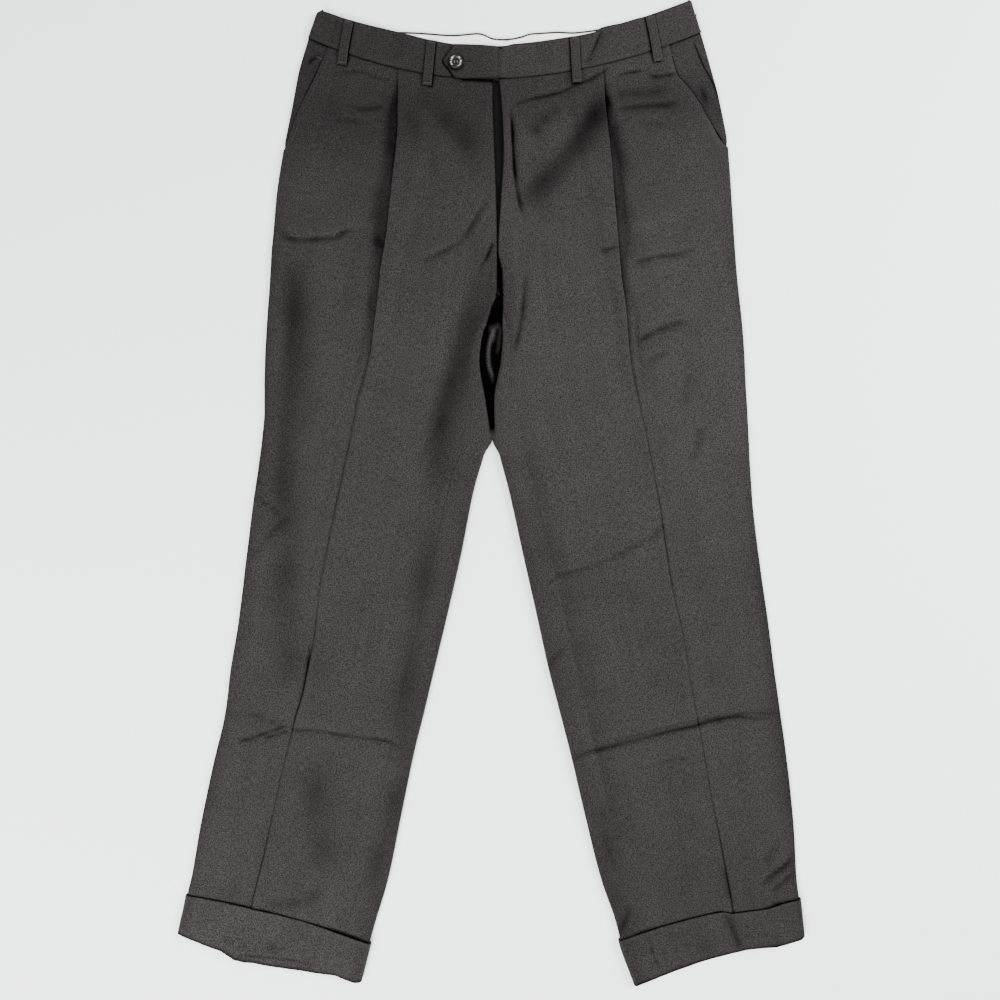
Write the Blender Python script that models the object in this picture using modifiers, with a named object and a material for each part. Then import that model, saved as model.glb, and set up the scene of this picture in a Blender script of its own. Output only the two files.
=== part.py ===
"""Pleated dress trousers, laid flat on their back with the front up.

Lengths in the tables are millimetres. X runs to the wearer's left, Y from the hems
to the waist, Z up from the surface that the trousers lie on. A section is a straight
cut across one side of the trousers, from its inner edge to its outer edge; the
mid-line of the cloth is worked out on each section, the sections are lofted into
sheets, and Solidify gives each sheet its wall.
"""

import math
from collections import namedtuple

import bmesh
import bpy
import numpy as np
from mathutils import Vector
from mathutils.bvhtree import BVHTree

MM = 0.001

# Driving dimensions, in millimetres
CLOTH_WALL = 1.2
BAND_WALL = 1.6
LINING_WALL = 1.0
SEAM_GAP = 0.3
FLOOR_Z = CLOTH_WALL / 2
ROLL_LENGTH = 28.0
PLEAT_SHOULDER = 12.0
PLEAT_CLEARANCE = 2.6
PLEAT_LEVEL = 0.6
BACK_RISE = 9.0
CROTCH_VALLEY_Z = 2.6
CROTCH_VALLEY_GAP = 0.6
CUFF_OUT = 1.7
CUFFED_LEG_Z = FLOOR_Z + CUFF_OUT
CUFF_OVERHANG = 0.05
POCKET_FACING_Z = 2.6
POCKET_FACING_RISE = 0.4
POCKET_FACING_TUCK = 12.0
POCKET_FACING_LAST_TUCK = 15.0
POCKET_FACING_END = 0.985
BAND_FRONT_Z = 5.8
BAND_BACK_Z = 2.2
TAB_Z = 7.8
TAB_RAMP = 14.0
LINING_Z = BAND_BACK_Z + BAND_WALL / 2 + SEAM_GAP + LINING_WALL / 2
LINING_DROP = 1.5
LINING_DEPTH = 24.0
LINING_SHARE = 0.64
FLY_SHIELD_Z = 2.4
FLY_SHIELD_WALL = 1.0
FLY_SHIELD_TOP = 1.0
FLY_SHIELD_WIDTH = 29.0
FLY_SHIELD_SHIFT = 1.0
FLY_SHIELD_LENGTH = 176.0
LOOP_WIDTH = 10.0
LOOP_WALL = 1.1
LOOP_SPRING = 0.8
LOOP_CLEARANCE = 0.4
LOOP_CROWN = 0.15
LOOP_REACH = 3.0
BUTTON_RADIUS = 7.6
BUTTON_HEIGHT = 2.8
BUTTON_PLACE = (-44.5, -15.8)
BUTTON_HOLE_RADIUS = 0.8
BUTTON_HOLE_SPREAD = 1.6

# How many steps each stretch of a section is drawn with
INNER_STEPS = 5
SHOULDER_STEPS = 4
NOSE_STEPS = 4
OUTER_STEPS = 6
FOLD_STEPS = 6
FLOOR_STEPS = 5
INSEAM_STEPS = 3
HALF_FOLD_STEPS = FOLD_STEPS // 2
FLOOR_COLUMNS = FLOOR_STEPS + HALF_FOLD_STEPS + 1
FACING_STEPS = 3
BAND_STEPS = 7
BAND_FOLD_STEPS = 3
LINING_STEPS = 5
LOOP_STEPS = 7

# The button's outline from its middle over the rim to its underside
BUTTON_PROFILE = (
    (0, 2.0),
    (4.3, 2.0),
    (5.4, BUTTON_HEIGHT),
    (6.6, BUTTON_HEIGHT),
    (BUTTON_RADIUS, 2.0),
    (BUTTON_RADIUS, 1.2),
    (5.6, 0),
    (0, 0),
)

# Where each section starts and ends, measured outwards from the centre front and
# down from the waist seam there, how far its middle bows down, and the share of
# its width at which the pleat and the pressed crease stand.
Plan = namedtuple("Plan", "in_x in_down out_x out_down bow crease")

PLAN_RIGHT = {
    "waist": Plan(4.9, 0, 206, -45, 12, 0.509),
    "pocket": Plan(4.4, 35, 216, -11, 11, 0.488),
    "high_hip": Plan(2.9, 76, 223.5, 28, 9, 0.479),
    "hip": Plan(1.1, 125, 233, 76, 7, 0.485),
    "seat": Plan(0, 180, 241, 129, 5, 0.494),
    "rise_end": Plan(-0.4, 227, 245, 176, 4, 0.515),
    "crotch": Plan(-0.5, 237, 246, 185, 4, 0.518),
    "valley_top": Plan(15, 278, 248.5, 229, 3, 0.500),
    "valley": Plan(18.5, 307, 250.7, 257, 2, 0.502),
    "valley_low": Plan(12, 351, 253, 299, 1, 0.543),
    "fork": Plan(7.6, 386, 254, 334, 0, 0.584),
    "leg_top": Plan(14, 409, 254, 360, 0, 0.592),
    "thigh": Plan(25, 447, 256.7, 392, 0, 0.597),
    "mid_thigh": Plan(38.7, 516, 266.5, 463, 0, 0.612),
    "low_thigh": Plan(53.4, 581, 274.7, 529, 0, 0.621),
    "over_knee": Plan(68.7, 645, 283, 595, 0, 0.608),
    "knee": Plan(79.6, 691, 291, 643, 0, 0.610),
    "under_knee": Plan(89.4, 730, 296.5, 689, 0, 0.634),
    "calf": Plan(103.6, 798, 310, 747, 0, 0.641),
    "shin": Plan(118.8, 872, 325, 820, -2, 0.642),
    "over_cuff": Plan(133, 920, 333, 868, -5, 0.645),
    "cuff_mouth": Plan(138, 938, 337, 886, -5, 0.645),
    "cuff_top": Plan(138.5, 940, 337.3, 888, -5, 0.645),
    "hem": Plan(149, 982, 346.3, 930, 9, 0.645),
}

PLAN_LEFT = {
    "waist": Plan(2.2, 0, 222.4, -51, 10.5, 0.512),
    "pocket": Plan(5.5, 35, 233, -15, 10, 0.492),
    "high_hip": Plan(7.3, 76, 243, 23, 9, 0.484),
    "hip": Plan(4.4, 129, 252, 73, 7, 0.491),
    "seat": Plan(1.4, 180, 255.6, 123, 5, 0.506),
    "rise_end": Plan(1.1, 227, 258.7, 170, 4, 0.515),
    "crotch": Plan(1.2, 237, 259.4, 180, 4, 0.517),
    "valley_top": Plan(5.8, 278, 262.7, 222, 3, 0.522),
    "valley": Plan(3.6, 307, 266, 251, 2, 0.528),
    "valley_low": Plan(-3.7, 351, 269.8, 295, 1, 0.550),
    "fork": Plan(-2.7, 387, 271.4, 331, 0, 0.571),
    "leg_top": Plan(2.7, 410, 273, 356, 0, 0.580),
    "thigh": Plan(12.5, 447, 274.7, 392, 0, 0.588),
    "mid_thigh": Plan(27.8, 516, 279, 461, 0, 0.601),
    "low_thigh": Plan(42.5, 581, 286.7, 526, 0, 0.598),
    "over_knee": Plan(56.7, 645, 296, 591, 0, 0.610),
    "knee": Plan(68.7, 691, 302, 638, 0, 0.605),
    "under_knee": Plan(80.7, 738, 308.5, 685, 0, 0.607),
    "calf": Plan(94.8, 798, 317, 747, 0, 0.608),
    "shin": Plan(113.4, 872, 324.3, 820, -1, 0.617),
    "over_cuff": Plan(129, 917, 327, 873, -5, 0.620),
    "cuff_mouth": Plan(133.4, 935, 328.8, 891, -7, 0.620),
    "cuff_top": Plan(133.7, 937, 329.1, 893, -7, 0.620),
    "hem": Plan(151, 985, 333.5, 933, -3, 0.633),
}

# The form of each section, the same on both sides: how deep the pleat is folded
# under, the angle of its two folds and their radius, the height of the roll along
# the inner edge, the height of the front inside and outside the pleat, how far the
# front's inner edge lies from the inner edge of the section, how far the outseam
# lies under the outer fold, and the height of the back.
Form = namedtuple("Form", "pleat turn nose roll in_z out_z inseam outseam floor")

FORM = {
    "waist": Form(28, 180, 0.8, 5.0, 5.0, 4.6, 0, 7, 1.4),
    "pocket": Form(26, 180, 0.8, 4.6, 4.6, 4.6, 0, 7, FLOOR_Z),
    "high_hip": Form(22, 180, 0.8, 4.6, 4.6, 4.6, 0, 8, FLOOR_Z),
    "hip": Form(16, 180, 0.8, 4.8, 4.8, 4.6, 0, 10, FLOOR_Z),
    "seat": Form(9, 180, 0.8, 5.2, 5.2, 4.6, 0, 14, FLOOR_Z),
    "rise_end": Form(4, 180, 0.8, 5.4, 5.4, 4.6, 0, 17, FLOOR_Z),
    "crotch": Form(3, 165, 0.8, 5.4, 5.4, 4.6, 2.8, 18, FLOOR_Z),
    "valley_top": Form(2.2, 110, 1.0, 8.0, 5.0, 4.6, 7, 20, FLOOR_Z),
    "valley": Form(2.2, 75, 1.3, 8.6, 4.8, 4.4, 11, 22, FLOOR_Z),
    "valley_low": Form(2.6, 50, 2.0, 8.8, 4.6, 4.2, 18, 25, FLOOR_Z),
    "fork": Form(3, 42, 2.5, 8.4, 4.4, 4.0, 23, 28, FLOOR_Z),
    "leg_top": Form(3, 40, 2.5, 8.0, 4.2, 4.0, 26, 30, FLOOR_Z),
    "thigh": Form(3, 40, 2.5, 7.6, 4.0, 4.0, 28, 32, FLOOR_Z),
    "mid_thigh": Form(3, 40, 2.5, 7.0, 3.8, 3.8, 30, 33, FLOOR_Z),
    "low_thigh": Form(3, 44, 2.5, 6.4, 3.6, 3.6, 30, 33, FLOOR_Z),
    "over_knee": Form(3, 50, 2.5, 6.0, 3.6, 3.4, 30, 33, FLOOR_Z),
    "knee": Form(3, 50, 2.5, 6.0, 3.8, 3.4, 29, 33, FLOOR_Z),
    "under_knee": Form(3, 42, 2.5, 6.4, 4.2, 3.8, 27, 33, FLOOR_Z),
    "calf": Form(3, 38, 2.5, 5.6, 3.6, 3.6, 27, 33, FLOOR_Z),
    "shin": Form(3, 34, 2.5, 5.2, 3.6, 3.6, 28, 32, FLOOR_Z),
    "over_cuff": Form(3, 32, 2.5, 5.4, 4.4, 4.4, 29, 31, FLOOR_Z),
    "cuff_mouth": Form(3, 30, 2.5, 6.2, 5.2, 5.2, 30, 30, CUFFED_LEG_Z),
    "cuff_top": Form(3, 30, 2.5, 6.2, 5.2, 5.2, 30, 30, CUFFED_LEG_Z),
    "hem": Form(3, 30, 2.5, 6.2, 5.4, 5.2, 30, 30, CUFFED_LEG_Z),
}

ALL_SECTIONS = list(FORM)
CROTCH_ROW = ALL_SECTIONS.index("crotch")
FIRST_LEG_ROW = ALL_SECTIONS.index("leg_top")

# The seat seam, seen from above, by distance down: it bends to the wearer's right
# between the legs.
SEAT_SEAM = {
    "down": (0, 200, 237, 278, 307, 351, 386),
    "x": (0, 0, 0.8, -5.5, -7.6, -7.6, -5.1),
}

# How far inside the outer edge the slanted pocket edge lies on each section, from
# the waist seam down to the section where the pocket ends.
POCKET_RIGHT = {"waist": 23.0, "pocket": 18.5, "high_hip": 9.0}
POCKET_LEFT = {"waist": 35.0, "pocket": 37.0, "high_hip": 25.0}

# The edges of the waistband, as plans of their own
BAND_RIGHT = {
    "front_seam": Plan(0, -0.3, 206, -45.3, 12, 0),
    "front_top": Plan(0, -36, 196, -75, 6.5, 0),
    "back_seam": Plan(0.15, -9.9, 206, -45.9, 12, 0),
    "back_top": Plan(0.15, -45, 196, -75, 10, 0),
}
BAND_LEFT = {
    "front_seam": Plan(0, -0.3, 222.4, -51.3, 10.5, 0),
    "front_top": Plan(0, -36, 212, -85, 9, 0),
    "back_seam": Plan(0.15, -9.9, 222.4, -51.9, 10.5, 0),
    "back_top": Plan(0.15, -45, 212, -85, 10, 0),
}

# The pointed tab that carries on from the left waistband: x and distance down of
# its lower edge, its middle and its upper edge, from the point to the centre front.
TAB_COLUMNS = (
    ((-43.5, 0.9), (-60, -18), (-46.5, -35.6)),
    ((-36, 0.6), (-40, -18.2), (-37, -36.2)),
    ((-18, 0), (-18, -18.2), (-18, -36.4)),
)

# The belt loops: x and distance down of the top and of the foot
Loop = namedtuple("Loop", "name top_x top_down foot_x foot_down")
FRONT_LOOPS = (
    Loop("belt_loop_front_right_side", -160, -61, -169, -15),
    Loop("belt_loop_front_right", -71.5, -40, -76, 9),
    Loop("belt_loop_front_left", 84, -44.5, 86.5, 6),
    Loop("belt_loop_front_left_side", 166, -66.5, 175.5, -19),
)
BACK_LOOPS = (
    Loop("belt_loop_back_right", -112, -50.5, -115, -21.5),
    Loop("belt_loop_back_centre", 0, -43, 0, -11.5),
    Loop("belt_loop_back_left", 118, -55.5, 122, -26.5),
)

RIGHT = -1
LEFT = 1


# ---------------------------------------------------------------- sections


class Section:
    """One cut across a side: its plan, its form, and the distances worked out from them."""

    def __init__(self, side, plan, form):
        self.side = side
        self.plan = plan
        self.form = form
        inner = np.array([plan.in_x, plan.in_down])
        outer = np.array([plan.out_x, plan.out_down])
        self.width = float(np.linalg.norm(outer - inner))
        self.inner_end = CLOTH_WALL / 2
        self.outer_end = self.width - CLOTH_WALL / 2
        self.roll_radius = (form.roll - form.floor) / 2
        self.fold_radius = (form.out_z - form.floor) / 2

    def centre_back(self):
        """Distance of the seat seam from the inner edge, less half the seam gap."""
        seam_x = np.interp(self.plan.in_down, SEAT_SEAM["down"], SEAT_SEAM["x"])
        return self.side * seam_x - self.plan.in_x + SEAM_GAP / 2


def between(first, second, share):
    """A section part of the way from one to the next."""

    def mixed(a, b):
        return type(a)(*(p + (q - p) * share for p, q in zip(a, b)))

    return Section(first.side, mixed(first.plan, second.plan), mixed(first.form, second.form))


def sections_of(side):
    plans = PLAN_RIGHT if side == RIGHT else PLAN_LEFT
    return {name: Section(side, plans[name], FORM[name]) for name in ALL_SECTIONS}


def placed(side, plan, width, path):
    """Points of a path of (distance, height), set on the plan's bowed line."""
    path = np.asarray(path, float)
    share = path[:, 0] / width
    inside = np.clip(share, 0, 1)
    x = plan.in_x + share * (plan.out_x - plan.in_x)
    down = plan.in_down + share * (plan.out_down - plan.in_down)
    down = down + 4 * plan.bow * inside * (1 - inside)
    return np.column_stack([side * x, -down, path[:, 1]])


def on_section(section, path):
    return placed(section.side, section.plan, section.width, path)


def smooth(share):
    share = np.clip(share, 0, 1)
    return share * share * (3 - 2 * share)


def straight(start, end, steps):
    """Points from start to end, both included, as (distance, height)."""
    return np.linspace(start, end, steps + 1)


def arc(centre, radius, first, last, steps):
    """Points on a circle between two angles in degrees, 0 outwards and 90 up."""
    angle = np.radians(np.linspace(first, last, steps + 1))
    return np.column_stack([centre[0] + radius * np.cos(angle), centre[1] + radius * np.sin(angle)])


def inner_height(section, distance):
    """Height of the front near the inner edge: a roll that falls away outwards."""
    form = section.form
    start = section.inner_end + section.roll_radius
    share = (np.asarray(distance) - start) / ROLL_LENGTH
    return form.in_z + (form.roll - form.in_z) * (1 - smooth(share))


def pleat_path(section):
    """The fold of the pleat, from its crest to its foot.

    The cloth turns down through an angle, runs on by the pleat's depth and turns
    back by the same angle. At 180 degrees that is a pleat folded under the front,
    at 90 a step, and at 40 the flank of a pressed crease.
    """
    form = section.form
    turn = math.radians(form.turn)
    crest = section.plan.crease * section.width - form.nose - CLOTH_WALL / 2
    angle = np.linspace(0, turn, NOSE_STEPS + 1)
    over = np.column_stack([crest + form.nose * np.sin(angle), form.nose * (np.cos(angle) - 1)])
    foot = over[-1] + form.pleat * np.array([math.cos(turn), -math.sin(turn)])
    centre = foot + form.nose * np.array([math.sin(turn), math.cos(turn)])
    heading = np.linspace(-turn, 0, NOSE_STEPS + 1)
    under = centre + form.nose * np.column_stack([np.sin(heading), -np.cos(heading)])
    path = np.vstack([over, under])
    path[:, 1] += form.out_z - path[-1, 1]
    return path


def inner_front_path(section, pleat):
    """From the front's inner edge over the shoulder to just before the pleat's crest."""
    form = section.form
    tucked = max(0.0, -math.cos(math.radians(form.turn)))
    crest_x, crest_z = pleat[0]
    top = crest_x - tucked * (form.pleat + PLEAT_CLEARANCE) - PLEAT_LEVEL
    foot = top - PLEAT_SHOULDER
    flat = np.linspace(form.inseam, foot, INNER_STEPS + 1)
    shoulder = np.linspace(foot, top, SHOULDER_STEPS + 1)
    distance = np.concatenate([flat, shoulder[1:]])
    rise = smooth((distance - foot) / PLEAT_SHOULDER)
    height = inner_height(section, distance) * (1 - rise) + crest_z * rise
    return np.column_stack([distance, height])


def front_path(section, pocket=None):
    """Mid-line of the front, from its inner edge to the pocket edge or to the outseam."""
    form = section.form
    pleat = pleat_path(section)
    inside = inner_front_path(section, pleat)
    if pocket is not None:
        edge = (section.outer_end - pocket, form.out_z)
        return np.vstack([inside, pleat, straight(pleat[-1], edge, OUTER_STEPS)[1:]])
    shoulder = (section.outer_end - section.fold_radius, form.out_z)
    centre = (shoulder[0], form.floor + section.fold_radius)
    fold = arc(centre, section.fold_radius, 90, -90, FOLD_STEPS)
    seam = (section.outer_end - form.outseam, form.floor)
    outside = straight(pleat[-1], shoulder, OUTER_STEPS)
    return np.vstack([inside, pleat, outside[1:], fold[1:], [seam]])


def inseam_path(section, start):
    """From the top of the inner roll out to the inseam."""
    distance = np.linspace(start, section.form.inseam - SEAM_GAP, INSEAM_STEPS + 1)[1:]
    return np.column_stack([distance, inner_height(section, distance)])


def back_path(section):
    """Mid-line of the back on a leg: the floor, the inner fold, and the top to the inseam."""
    form = section.form
    radius = section.roll_radius
    centre = (section.inner_end + radius, form.floor + radius)
    fold = arc(centre, radius, 270, 90, FOLD_STEPS)
    start = (section.outer_end - form.outseam - SEAM_GAP, form.floor)
    floor = straight(start, fold[0], FLOOR_STEPS)
    return np.vstack([floor, fold[1:], inseam_path(section, centre[0])])


def torso_back_path(section):
    """Mid-line of the back on the torso: along the floor to the seat seam."""
    floor = section.form.floor
    start = (section.outer_end - section.form.outseam - SEAM_GAP, floor)
    turn = (section.inner_end + section.roll_radius, floor)
    seam = (section.centre_back(), floor)
    return np.vstack([straight(start, turn, FLOOR_STEPS), straight(turn, seam, HALF_FOLD_STEPS)[1:]])


def valley_path(section):
    """Mid-line of the back between the legs, from the seat seam up to the inseam."""
    form = section.form
    radius = section.roll_radius
    end = form.inseam - SEAM_GAP
    seam = section.centre_back() + CROTCH_VALLEY_GAP
    if section.plan.in_down <= PLAN_RIGHT["crotch"].in_down:
        return straight((seam, form.in_z), (end, form.in_z), HALF_FOLD_STEPS + INSEAM_STEPS)
    centre = (section.inner_end + radius, form.floor + radius)
    wall = arc(centre, radius, 180, 90, HALF_FOLD_STEPS)[1:]
    return np.vstack([[(seam, CROTCH_VALLEY_Z)], wall, inseam_path(section, centre[0])])


# ---------------------------------------------------------------- objects


def material_of(name, colour, roughness, sheen=0.0):
    material = bpy.data.materials.get(name) or bpy.data.materials.new(name)
    material.use_nodes = True
    shader = material.node_tree.nodes["Principled BSDF"]
    shader.inputs["Base Color"].default_value = (*colour, 1)
    shader.inputs["Roughness"].default_value = roughness
    shader.inputs["Metallic"].default_value = 0
    shader.inputs["Sheen Weight"].default_value = sheen
    material.diffuse_color = (*colour, 1)
    return material


def wool():
    return material_of("charcoal_wool", (0.048, 0.041, 0.041), 0.85, 0.3)


def adopt(obj, material):
    """Puts an object in the trousers' collection, under their empty, with its material."""
    for collection in obj.users_collection:
        collection.objects.unlink(obj)
    bpy.data.collections["trousers"].objects.link(obj)
    obj.parent = bpy.data.objects["trousers"]
    obj.data.materials.clear()
    obj.data.materials.append(material)
    return obj


def cloth(name, strips, material, wall=CLOTH_WALL):
    """A sheet of cloth from strips, each a list of rows of points, given its wall."""
    shape = bmesh.new()
    for rows in strips:
        lines = [[shape.verts.new(Vector(point) * MM) for point in row] for row in rows]
        for upper, lower in zip(lines, lines[1:]):
            for a, b, c, d in zip(upper, upper[1:], lower[1:], lower):
                shape.faces.new((a, b, c, d))
    bmesh.ops.remove_doubles(shape, verts=shape.verts, dist=1e-6)
    mesh = bpy.data.meshes.new(name)
    shape.to_mesh(mesh)
    shape.free()
    mesh.shade_smooth()
    obj = adopt(bpy.data.objects.new(name, mesh), material)
    solid = obj.modifiers.new("wall", "SOLIDIFY")
    solid.thickness = wall * MM
    solid.offset = 0
    solid.use_even_offset = True
    return obj


def make_front(name, side, pocket):
    """One front with its pleat, crease and slanted pocket edge."""
    sections = sections_of(side)
    names = ALL_SECTIONS
    pocket_rows = len(pocket)
    full = [on_section(sections[row], front_path(sections[row])) for row in names[pocket_rows:-1]]
    last = between(sections["cuff_top"], sections["hem"], 1 - CUFF_OVERHANG)
    full.append(on_section(last, front_path(last)))
    beside = [on_section(sections[row], front_path(sections[row], pocket[row])) for row in pocket]
    columns = len(beside[0])
    beside.append(full[0][:columns])
    return cloth(name, [beside, full], wool())


def make_back(name, side):
    """One back: seat on the floor, fork between the legs, and the leg round to the inseam."""
    sections = sections_of(side)
    names = ALL_SECTIONS
    legs = [on_section(sections[row], back_path(sections[row])) for row in names[FIRST_LEG_ROW:-1]]
    last = between(sections["cuff_top"], sections["hem"], 1 - CUFF_OVERHANG)
    legs.append(on_section(last, back_path(last)))
    seat = []
    for row in names[:FIRST_LEG_ROW]:
        section = sections[row]
        if row == "waist":
            raised = section.plan._replace(in_x=0, in_down=-BACK_RISE)
            section = Section(side, raised, section.form)
        seat.append(on_section(section, torso_back_path(section)))
    seat.append(legs[0][:FLOOR_COLUMNS])
    fork = [
        on_section(sections[row], valley_path(sections[row]))
        for row in names[CROTCH_ROW:FIRST_LEG_ROW]
    ]
    fork.append(legs[0][FLOOR_COLUMNS - 1 :])
    return cloth(name, [seat, fork, legs], wool())


def make_pocket_facing(name, side, pocket):
    """The strip of cloth that shows between the slanted pocket edge and the side."""
    sections = sections_of(side)
    names = list(pocket)
    ends = ALL_SECTIONS[len(pocket)]
    rows = []
    for row in names + [ends]:
        section = sections[row]
        tuck = pocket[row] + POCKET_FACING_TUCK if row in pocket else POCKET_FACING_LAST_TUCK
        if row == ends:
            section = between(sections[names[-1]], section, POCKET_FACING_END)
        form = section.form
        radius = (POCKET_FACING_Z + POCKET_FACING_RISE - form.floor) / 2
        shoulder = (section.outer_end - radius, form.floor + 2 * radius)
        fold = arc((shoulder[0], form.floor + radius), radius, 90, -90, FOLD_STEPS)
        seam = (section.outer_end - form.outseam, form.floor)
        start = (section.outer_end - tuck, POCKET_FACING_Z)
        path = np.vstack([straight(start, shoulder, FACING_STEPS), fold[1:], [seam]])
        rows.append(on_section(section, path))
    return cloth(name, [rows], wool())


def moved_out(path, distance):
    """The path of a closed section with every point moved out at right angles to it."""
    path = np.asarray(path)
    ahead = np.roll(path, -1, axis=0) - path
    ahead = ahead / np.linalg.norm(ahead, axis=1)[:, None]
    behind = np.roll(ahead, 1, axis=0)
    normal = np.column_stack([-(ahead + behind)[:, 1], (ahead + behind)[:, 0]])
    length = np.linalg.norm(normal, axis=1)[:, None]
    stretch = distance / np.maximum(length / 2, 0.5)
    return path + normal / length * stretch


def make_cuff(name, side):
    """The turn-up: the leg's own section moved out all round, from its top edge to the hem."""
    sections = sections_of(side)
    rows = []
    for share in (0.0, 0.5, 1.0):
        section = between(sections["cuff_top"], sections["hem"], share)
        loop = np.vstack([front_path(section), back_path(section)])
        loop = moved_out(loop, CUFF_OUT)
        rows.append(on_section(section, np.vstack([loop, loop[:1]])))
    return cloth(name, [rows], wool())


def band_line(first, second, share):
    return Plan(*(a + (b - a) * share for a, b in zip(first, second)))


def make_waistband(name, side, band, tab_columns=()):
    """Half the waistband: the front, the fold at the side and the back, with the tab if it has one."""
    rows = []
    for row, share in enumerate((0.0, 0.5, 1.0)):
        front = band_line(band["front_seam"], band["front_top"], share)
        back = band_line(band["back_seam"], band["back_top"], share)
        radius = (BAND_FRONT_Z - BAND_BACK_Z) / 2
        front_width = math.hypot(front.out_x - front.in_x, front.out_down - front.in_down)
        back_width = math.hypot(back.out_x - back.in_x, back.out_down - back.in_down)
        end = front_width - BAND_WALL / 2
        flat = np.linspace(TAB_RAMP, end - radius, BAND_STEPS + 1)
        distance = np.concatenate([[0], flat])
        height = np.full(len(distance), BAND_FRONT_Z)
        if tab_columns:
            height[0] = TAB_Z
        top = np.column_stack([distance, height])
        upper = arc((end - radius, BAND_BACK_Z + radius), radius, 90, 0, BAND_FOLD_STEPS)[1:]
        end = back_width - BAND_WALL / 2
        lower = arc((end - radius, BAND_BACK_Z + radius), radius, 0, -90, BAND_FOLD_STEPS)[1:]
        floor = straight((end - radius, BAND_BACK_Z), (0, BAND_BACK_Z), BAND_STEPS)[1:]
        line = [(x, -down, TAB_Z) for x, down in (column[row] for column in tab_columns)]
        line += list(placed(side, front, front_width, np.vstack([top, upper])))
        line += list(placed(side, back, back_width, np.vstack([lower, floor])))
        rows.append(line)
    return cloth(name, [rows], wool(), BAND_WALL)


def make_waistband_lining():
    """The pale lining inside the back of the waistband."""
    rows = []
    for drop in (LINING_DROP, LINING_DEPTH / 2, LINING_DEPTH):
        line = []
        for side, band in ((RIGHT, BAND_RIGHT), (LEFT, BAND_LEFT)):
            plan = band["back_top"]._replace(in_x=0)
            width = math.hypot(plan.out_x, plan.out_down - plan.in_down)
            path = straight((0, LINING_Z), (LINING_SHARE * width, LINING_Z), LINING_STEPS)
            points = placed(side, plan, width, path)
            points[:, 1] -= drop
            line += list(points[::-1] if side == RIGHT else points[1:])
        rows.append(line)
    pale = material_of("lining_twill", (0.72, 0.70, 0.64), 0.7, 0.1)
    return cloth("waistband_lining", [rows], pale, LINING_WALL)


def make_fly_shield():
    """The strip behind the fly opening, square at the waist and rounded at its foot."""
    radius = FLY_SHIELD_WIDTH / 2
    middle = FLY_SHIELD_SHIFT
    foot = arc((middle, radius - FLY_SHIELD_LENGTH), radius, 0, -180, 10)
    top = [(middle - radius, -FLY_SHIELD_TOP), (middle + radius, -FLY_SHIELD_TOP)]
    outline = np.vstack([top, foot])
    curve = bpy.data.curves.new("fly_shield", "CURVE")
    curve.dimensions = "2D"
    curve.fill_mode = "BOTH"
    curve.extrude = FLY_SHIELD_WALL / 2 * MM
    spline = curve.splines.new("POLY")
    spline.points.add(len(outline) - 1)
    for point, (x, y) in zip(spline.points, outline):
        point.co = (x * MM, y * MM, 0, 1)
    spline.use_cyclic_u = True
    shield = bpy.data.objects.new("fly_shield", curve)
    shield.location.z = FLY_SHIELD_Z * MM
    return adopt(shield, material_of("fly_shield_twill", (0.03, 0.027, 0.028), 0.8))


def surface_tree(names):
    """A search tree of the named objects as their modifiers leave them."""
    graph = bpy.context.evaluated_depsgraph_get()
    shape = bmesh.new()
    for name in names:
        evaluated = bpy.data.objects[name].evaluated_get(graph)
        mesh = evaluated.to_mesh()
        shape.from_mesh(mesh)
        evaluated.to_mesh_clear()
    tree = BVHTree.FromBMesh(shape)
    shape.free()
    return tree


def height_over(tree, x, y):
    """Height in millimetres of the highest cloth over a place."""
    hit = tree.ray_cast(Vector((x * MM, y * MM, 1)), Vector((0, 0, -1)))[0]
    return hit.z / MM if hit else 0.0


def make_front_loop(loop, tree):
    """A belt loop that lies on the waistband and the front under it."""
    half = LOOP_WIDTH / 2
    rows = []
    for share in np.linspace(0, 1, LOOP_STEPS + 1):
        x = loop.top_x + (loop.foot_x - loop.top_x) * share
        y = -(loop.top_down + (loop.foot_down - loop.top_down) * share)
        near = [
            height_over(tree, x + across, y + along)
            for across in (-half, -half / 2, 0, half / 2, half)
            for along in (-LOOP_REACH, 0, LOOP_REACH)
        ]
        spring = LOOP_SPRING * math.sin(math.pi * share)
        height = max(near) + LOOP_CLEARANCE + LOOP_WALL / 2 + spring
        rows.append([(x - half, y, height), (x, y, height + LOOP_CROWN), (x + half, y, height)])
    return cloth(loop.name, [rows], wool(), LOOP_WALL)


def make_back_loop(loop):
    """A belt loop pressed flat between the waistband and the surface."""
    rows = []
    half = LOOP_WIDTH / 2
    for x, down in ((loop.top_x, loop.top_down), (loop.foot_x, loop.foot_down)):
        rows.append([(x - half, -down, LOOP_WALL / 2), (x + half, -down, LOOP_WALL / 2)])
    return cloth(loop.name, [rows], wool(), LOOP_WALL)


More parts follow.
